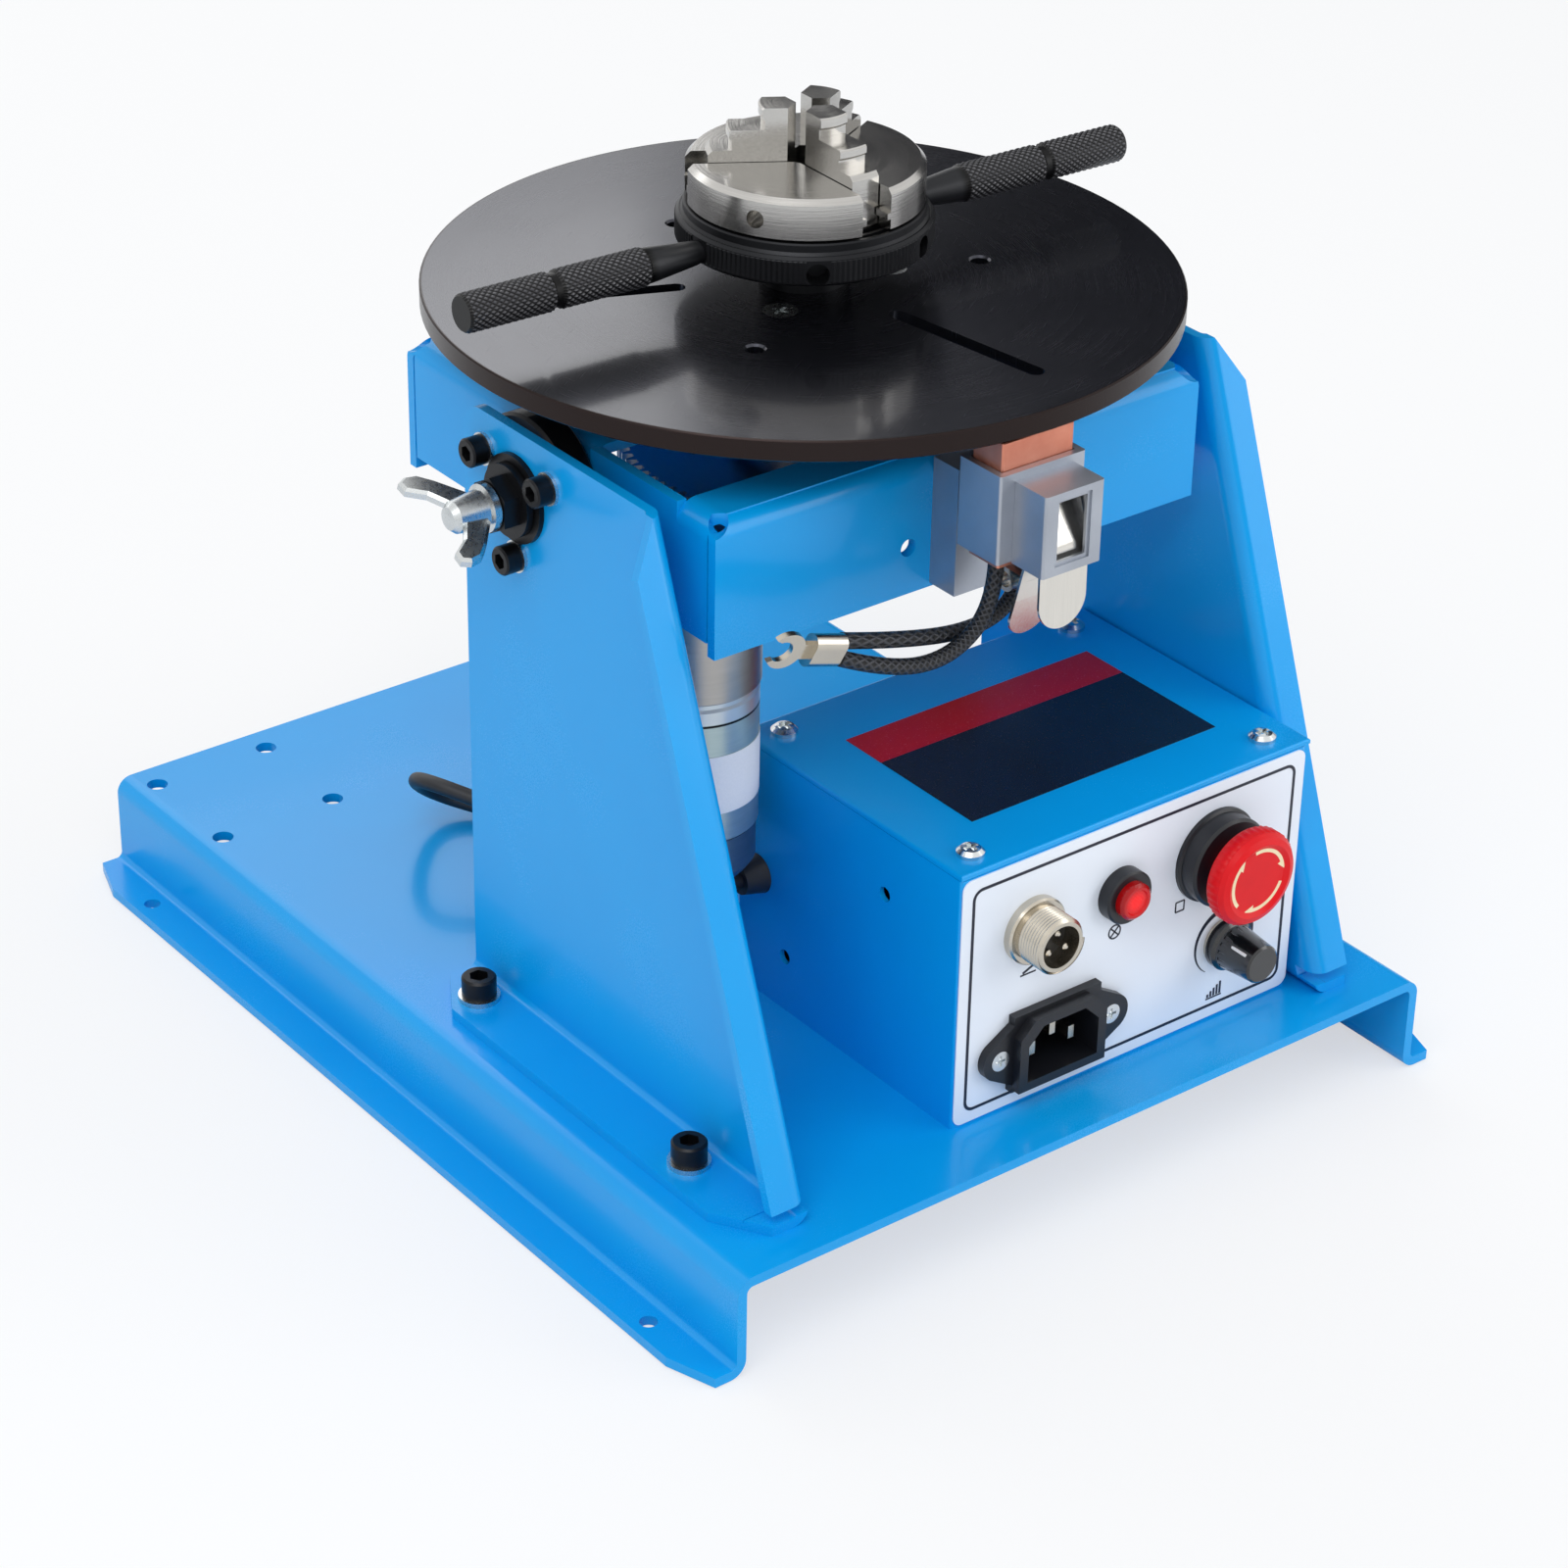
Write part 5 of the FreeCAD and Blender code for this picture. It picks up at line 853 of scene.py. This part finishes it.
def merge(target, *others):
    for other in others:
        mesh = bpy.data.meshes.new("merging")
        other.to_mesh(mesh)
        other.free()
        target.from_mesh(mesh)
        bpy.data.meshes.remove(mesh)
    return target


def onPanel(name, shape, x, z, material=None, proud=0.0, body="base", slot="white_film"):
    return makePiece(name, standing(thicken(shape, panel["film"]), x, z, proud), body, material or navy)


def panelBorder():
    width = panel["right"] - panel["left"] - 2 * panel["inset"]
    height = panel["high"] - panel["low"] - 2 * panel["inset"]
    shape = roundedLine(width, height, panel["corner"], panel["line"])
    onPanel("panelBorder", shape, (panel["left"] + panel["right"]) / 2, (panel["low"] + panel["high"]) / 2)


def stroke(width, height, x=0.0, y=0.0, turn=0.0):
    shape = lay(rectangle(width, height), Matrix.Rotation(math.radians(turn), 4, "Z"))
    return lay(shape, Matrix.Translation((x, y, 0)))


symbols = {
    "line": 0.00045,
    "size": 0.0021,
    "foot": (-0.0103, 0.0738),
    "lamp": (0.0207, 0.0741),
    "stop": (0.0448, 0.0735),
    "speed": (0.0606, 0.0381),
    "power": (-0.0048, 0.0356),
}


def panelSymbols():
    # plain marks under the controls: pedal, lamp, stop, faster, mains
    line, size = symbols["line"], symbols["size"]
    pedal = merge(stroke(2.6 * size, line, 0, -size * 0.7), stroke(2.2 * size, line * 1.6, 0.1 * size, 0, 22))
    lamp = merge(arc(size, line, 0, 360, 32), *(stroke(2 * size, line, turn=turn) for turn in (45, -45)))
    stopped = roundedLine(1.7 * size, 1.7 * size, size * 0.2, line)
    faster = stroke(2.8 * size, line, 0, -line)
    for step in range(5):
        place = ((step - 2) * size * 0.55, size * (0.25 + 0.175 * step))
        merge(faster, stroke(line * 1.5, size * (0.5 + 0.35 * step), *place))
    mains = merge(arc(size * 0.9, line, 125, 415, 28), stroke(line, size, 0, size * 0.75))
    marks = {"foot": pedal, "lamp": lamp, "stop": stopped, "speed": faster, "power": mains}
    for name, shape in marks.items():
        onPanel(name + "Mark", shape, *symbols[name])


dial = {
    "centre": (0.0625, 0.0560),
    "radius": 0.0104,
    "thin": 0.0002,
    "thick": 0.0030,
    "from": 235,
    "to": -35,
    "steps": 48,
}


def dialScale():
    # wedge that thickens clockwise round the knob, from slow to fast
    x, z = dial["centre"]
    shape = arc(dial["radius"], dial["thick"], dial["to"], dial["from"], dial["steps"], dial["thin"])
    onPanel("dialScale", shape, x, z)


pointer = {
    "size": (0.0009, 0.0088, 0.0010),
    "middle": (0, -0.0100, 0.00595),
    "edge": 0.0002,
    "turn": -52,
}


def knobPointer():
    # white line down the knob's grip and over its front
    x, z = dial["centre"]
    shape = bmesh.new()
    bmesh.ops.create_cube(shape, size=1.0)
    bmesh.ops.scale(shape, vec=pointer["size"], verts=shape.verts)
    bmesh.ops.translate(shape, verts=shape.verts, vec=pointer["middle"])
    bmesh.ops.bevel(shape, geom=shape.edges[:], offset=pointer["edge"], segments=2, profile=0.5,
                    affect="EDGES", material=-1)
    turn = Matrix.Rotation(math.radians(pointer["turn"]), 4, "Y")
    lay(shape, Matrix.Translation((x, panel["face"], z)) @ turn)
    makePiece("knobPointer", shape, "speed_knob", white)


stop = {
    "centre": (0.0564, 0.0865),
    "front": 0.0178,
    "radius": 0.0092,
    "width": 0.0011,
    "arrow": 0.0031,
    "sweep": 78,
    "starts": (100, 220, 340),
    "overlap": 0.00002,  # how far the ink sits into the front
    "rim": 0.0140,
    "flutes": 40,
    "rib": 0.00035,
    "gripFront": 0.0128,
    "gripLength": 0.0036,
    "lip": 0.0008,
    "sink": 0.0006,
}


def stopArrows():
    # three curved arrows that show which way the button unlatches
    shape = bmesh.new()
    half, tip = stop["arrow"] * 0.5, stop["arrow"] * 0.95
    for start in stop["starts"]:
        end = start - stop["sweep"]
        head = plate((half, 0), (0, -tip), (-half, 0))
        turn = Matrix.Rotation(math.radians(end), 4, "Z")
        lay(head, turn @ Matrix.Translation((stop["radius"], 0, 0)))
        merge(shape, arc(stop["radius"], stop["width"], end, start, 16), head)
    x, z = stop["centre"]
    onPanel("stopArrows", shape, x, z, cream, stop["front"] - stop["overlap"], "stop_button", "red_plastic")


def stopGrip():
    # raised ribs round the front edge of the button, four points to a rib
    def swell(index):
        return stop["rib"] * (1 + math.cos(index * math.pi / 2)) / 2 / stop["rim"]

    shape = ribbedBand(stop["flutes"] * 4, stop["rim"], swell, stop["gripLength"], stop["lip"], stop["sink"])
    x, z = stop["centre"]
    shape = standing(shape, x, z, stop["gripFront"])
    makePiece("stopGrip", shape, "stop_button", finishes["red_plastic"], smooth=60)


thread = {
    "centre": (-0.0096, 0.0865),
    "radius": 0.0080,
    "sink": 0.00005,
    "start": 0.0032,
    "turns": 8,
    "steps": 48,  # in a turn
    "pitch": 0.0010,
    "crest": (0.42, 0.58),  # shares of the pitch
    "depth": 0.0004,
}


def socketThread():
    # screw thread on the barrel of the pedal socket
    shape = bmesh.new()
    steps, pitch = thread["steps"], thread["pitch"]
    root = thread["radius"] - thread["sink"]
    top = root + thread["depth"]
    crestStart, crestEnd = thread["crest"]
    rows = [(root, 0), (top, pitch * crestStart), (top, pitch * crestEnd), (root, pitch)]
    points = [shape.verts.new((reach, 0, height)) for reach, height in rows]
    edges = [shape.edges.new(pair) for pair in zip(points, points[1:])]
    bmesh.ops.spin(shape, geom=points + edges, cent=(0, 0, 0), axis=(0, 0, 1), dvec=(0, 0, pitch / steps),
                   angle=2 * math.pi * thread["turns"], steps=steps * thread["turns"])
    bmesh.ops.remove_doubles(shape, verts=shape.verts, dist=1e-6)
    x, z = thread["centre"]
    shape = standing(shape, x, z, thread["start"])
    makePiece("socketThread", shape, "base", finishes["nickel"], smooth=25)


panelBorder()
panelSymbols()
dialScale()
knobPointer()
stopArrows()
stopGrip()
socketThread()
print("panel pieces made")


motorLabel = {
    "radius": 0.01806,
    "low": 0.1055,
    "high": 0.1235,
    "from": 200,
    "to": 325,
    "thickness": 0.0001,
    "steps": 40,
}


def makeMotorLabel():
    # white sticker wrapped on the can, left bare
    shape = bmesh.new()
    ends = [shape.verts.new((motorLabel["radius"], 0, motorLabel[end])) for end in ("low", "high")]
    shape.edges.new(ends)
    sweep(shape, motorLabel["from"], motorLabel["to"], motorLabel["steps"])
    bmesh.ops.solidify(shape, geom=shape.faces[:], thickness=motorLabel["thickness"])
    lay(shape, Matrix.Translation(motorAxis))
    makePiece("motorLabel", shape, "tilt_frame", whiteLabel())


makeMotorLabel()
print("motor label made")


# floor and world
stage = {
    "size": 6.0,  # half the floor's width, in metres
    "drop": 0.0004,  # how far the floor lies under the feet
    "floor": (0.93, 0.93, 0.93, 1.0),
    "white": (1.0, 1.0, 1.0, 1.0),
    "lift": 0.6,  # the share of plain white that the camera sees in the floor
    "sky": (0.93, 0.96, 1.0, 1.0),
    "skyStrength": 0.7,
}


def brighten(paint, share):
    # the camera sees the floor partly as plain white, so only a light shadow is left on it
    path = paint.node("LightPath", {}, {})
    white = paint.node("Emission", {}, {"Color": stage["white"], "Strength": 1.0})
    both = paint.node("MixShader", {}, {0: path * share, 2: white})
    paint.tree.links.new(paint.shader.outputs[0], both.made.inputs[1])
    paint.tree.links.new(both.socket, paint.output.inputs[0])


def sheetMesh(name, half, stretch, material):
    # a flat square of a given half width, then stretched
    shape = bmesh.new()
    bmesh.ops.create_grid(shape, x_segments=1, y_segments=1, size=half)
    bmesh.ops.scale(shape, vec=(*stretch, 1.0), verts=shape.verts)
    mesh = bpy.data.meshes.new(name)
    shape.to_mesh(mesh)
    shape.free()
    mesh.materials.append(material)
    return mesh


def hang(thing, place, point, axis):
    # puts a card or lamp in its place, with its axis towards a point on the object
    thing.location = place
    thing.rotation_euler = (Vector(point) - thing.location).to_track_quat(axis, "Y").to_euler()
    bpy.context.scene.collection.objects.link(thing)


def makeFloor():
    paint = Paint("floorCard", Specular_IOR_Level=0.1)
    grain = paint.noise(paint.place(), 300, 2)
    card = paint.finish(paint.mix(grain * 0.02, stage["floor"], stage["white"]), 0.8)
    brighten(paint, stage["lift"])
    floor = bpy.data.objects.new("floor", sheetMesh("floor", stage["size"], (1.0, 1.0), card))
    floor.location.z = -stage["drop"]
    bpy.context.scene.collection.objects.link(floor)


flagsFace = (0, 0, 0.2)  # the point that the dark cards face, in metres
felt = {"colour": (0.05, 0.05, 0.055, 1.0), "fibres": 40, "gloss": 0.9}
flags = {
    "backFlag": {"place": (1.95, 1.15, 1.1), "size": (1.9, 2.4), "shade": (0.02, 0.02, 0.025, 1.0)},
    "leftFlag": {"place": (-2.0, 0.5, 0.55), "size": (1.1, 1.3), "shade": (0.03, 0.03, 0.035, 1.0)},
    "frontFlag": {"place": (0.25, -2.3, 0.35), "size": (0.9, 1.0), "shade": (0.04, 0.04, 0.045, 1.0)},
}


def hangFlags():
    # dark cards that only the metal reflects, so that it shows form
    for name, facts in flags.items():
        paint = Paint(name + "Card", Specular_IOR_Level=0.0)
        cloth = paint.noise(paint.place(), felt["fibres"], 2)
        cover = paint.finish(paint.mix(cloth, facts["shade"], felt["colour"]), felt["gloss"])
        card = bpy.data.objects.new(name, sheetMesh(name, 0.5, facts["size"], cover))
        hang(card, facts["place"], flagsFace, "Z")
        for ray in ("camera", "diffuse", "shadow", "transmission"):
            setattr(card, "visible_" + ray, False)


def makeWorld():
    # the camera, metal and glass see plain white; only the light on matt faces comes from the sky
    world = bpy.data.worlds.new("studio")
    world.use_nodes = True
    board = Board(world.node_tree)
    path = board.node("LightPath", {}, {})
    direct = path.maths("MAXIMUM", path.other("Is Glossy Ray"))
    direct = direct.maths("MAXIMUM", path.other("Is Transmission Ray"))
    sky = board.node("Background", {}, {"Color": stage["sky"], "Strength": stage["skyStrength"]})
    seen = board.node("Background", {}, {"Color": stage["white"], "Strength": 1.0})
    both = board.node("MixShader", {}, {0: direct, 1: sky, 2: seen})
    output = board.tree.nodes.new("ShaderNodeOutputWorld")
    board.tree.links.new(both.socket, output.inputs[0])
    bpy.context.scene.world = world


lampsFace = (0, 0, 0.12)  # the point that the lamps face, in metres
lamps = {
    "keyBox": {"place": (-0.9, -0.7, 1.5), "size": (1.2, 0.8), "watts": 10.0},
    "fillBox": {"place": (1.1, -1.2, 0.7), "size": (1.0, 1.0), "watts": 6.5},
    "backBox": {"place": (0.2, 1.4, 1.2), "size": (1.6, 0.6), "watts": 5.0},
}


def hangLamps():
    for name, facts in lamps.items():
        lamp = bpy.data.lights.new(name, "AREA")
        lamp.shape = "RECTANGLE"
        lamp.size, lamp.size_y = facts["size"]
        lamp.energy = facts["watts"]
        hang(bpy.data.objects.new(name, lamp), facts["place"], lampsFace, "-Z")


makeFloor()
hangFlags()
makeWorld()
hangLamps()
bpy.context.scene.view_settings.view_transform = "Standard"
print("stage and lamps set")
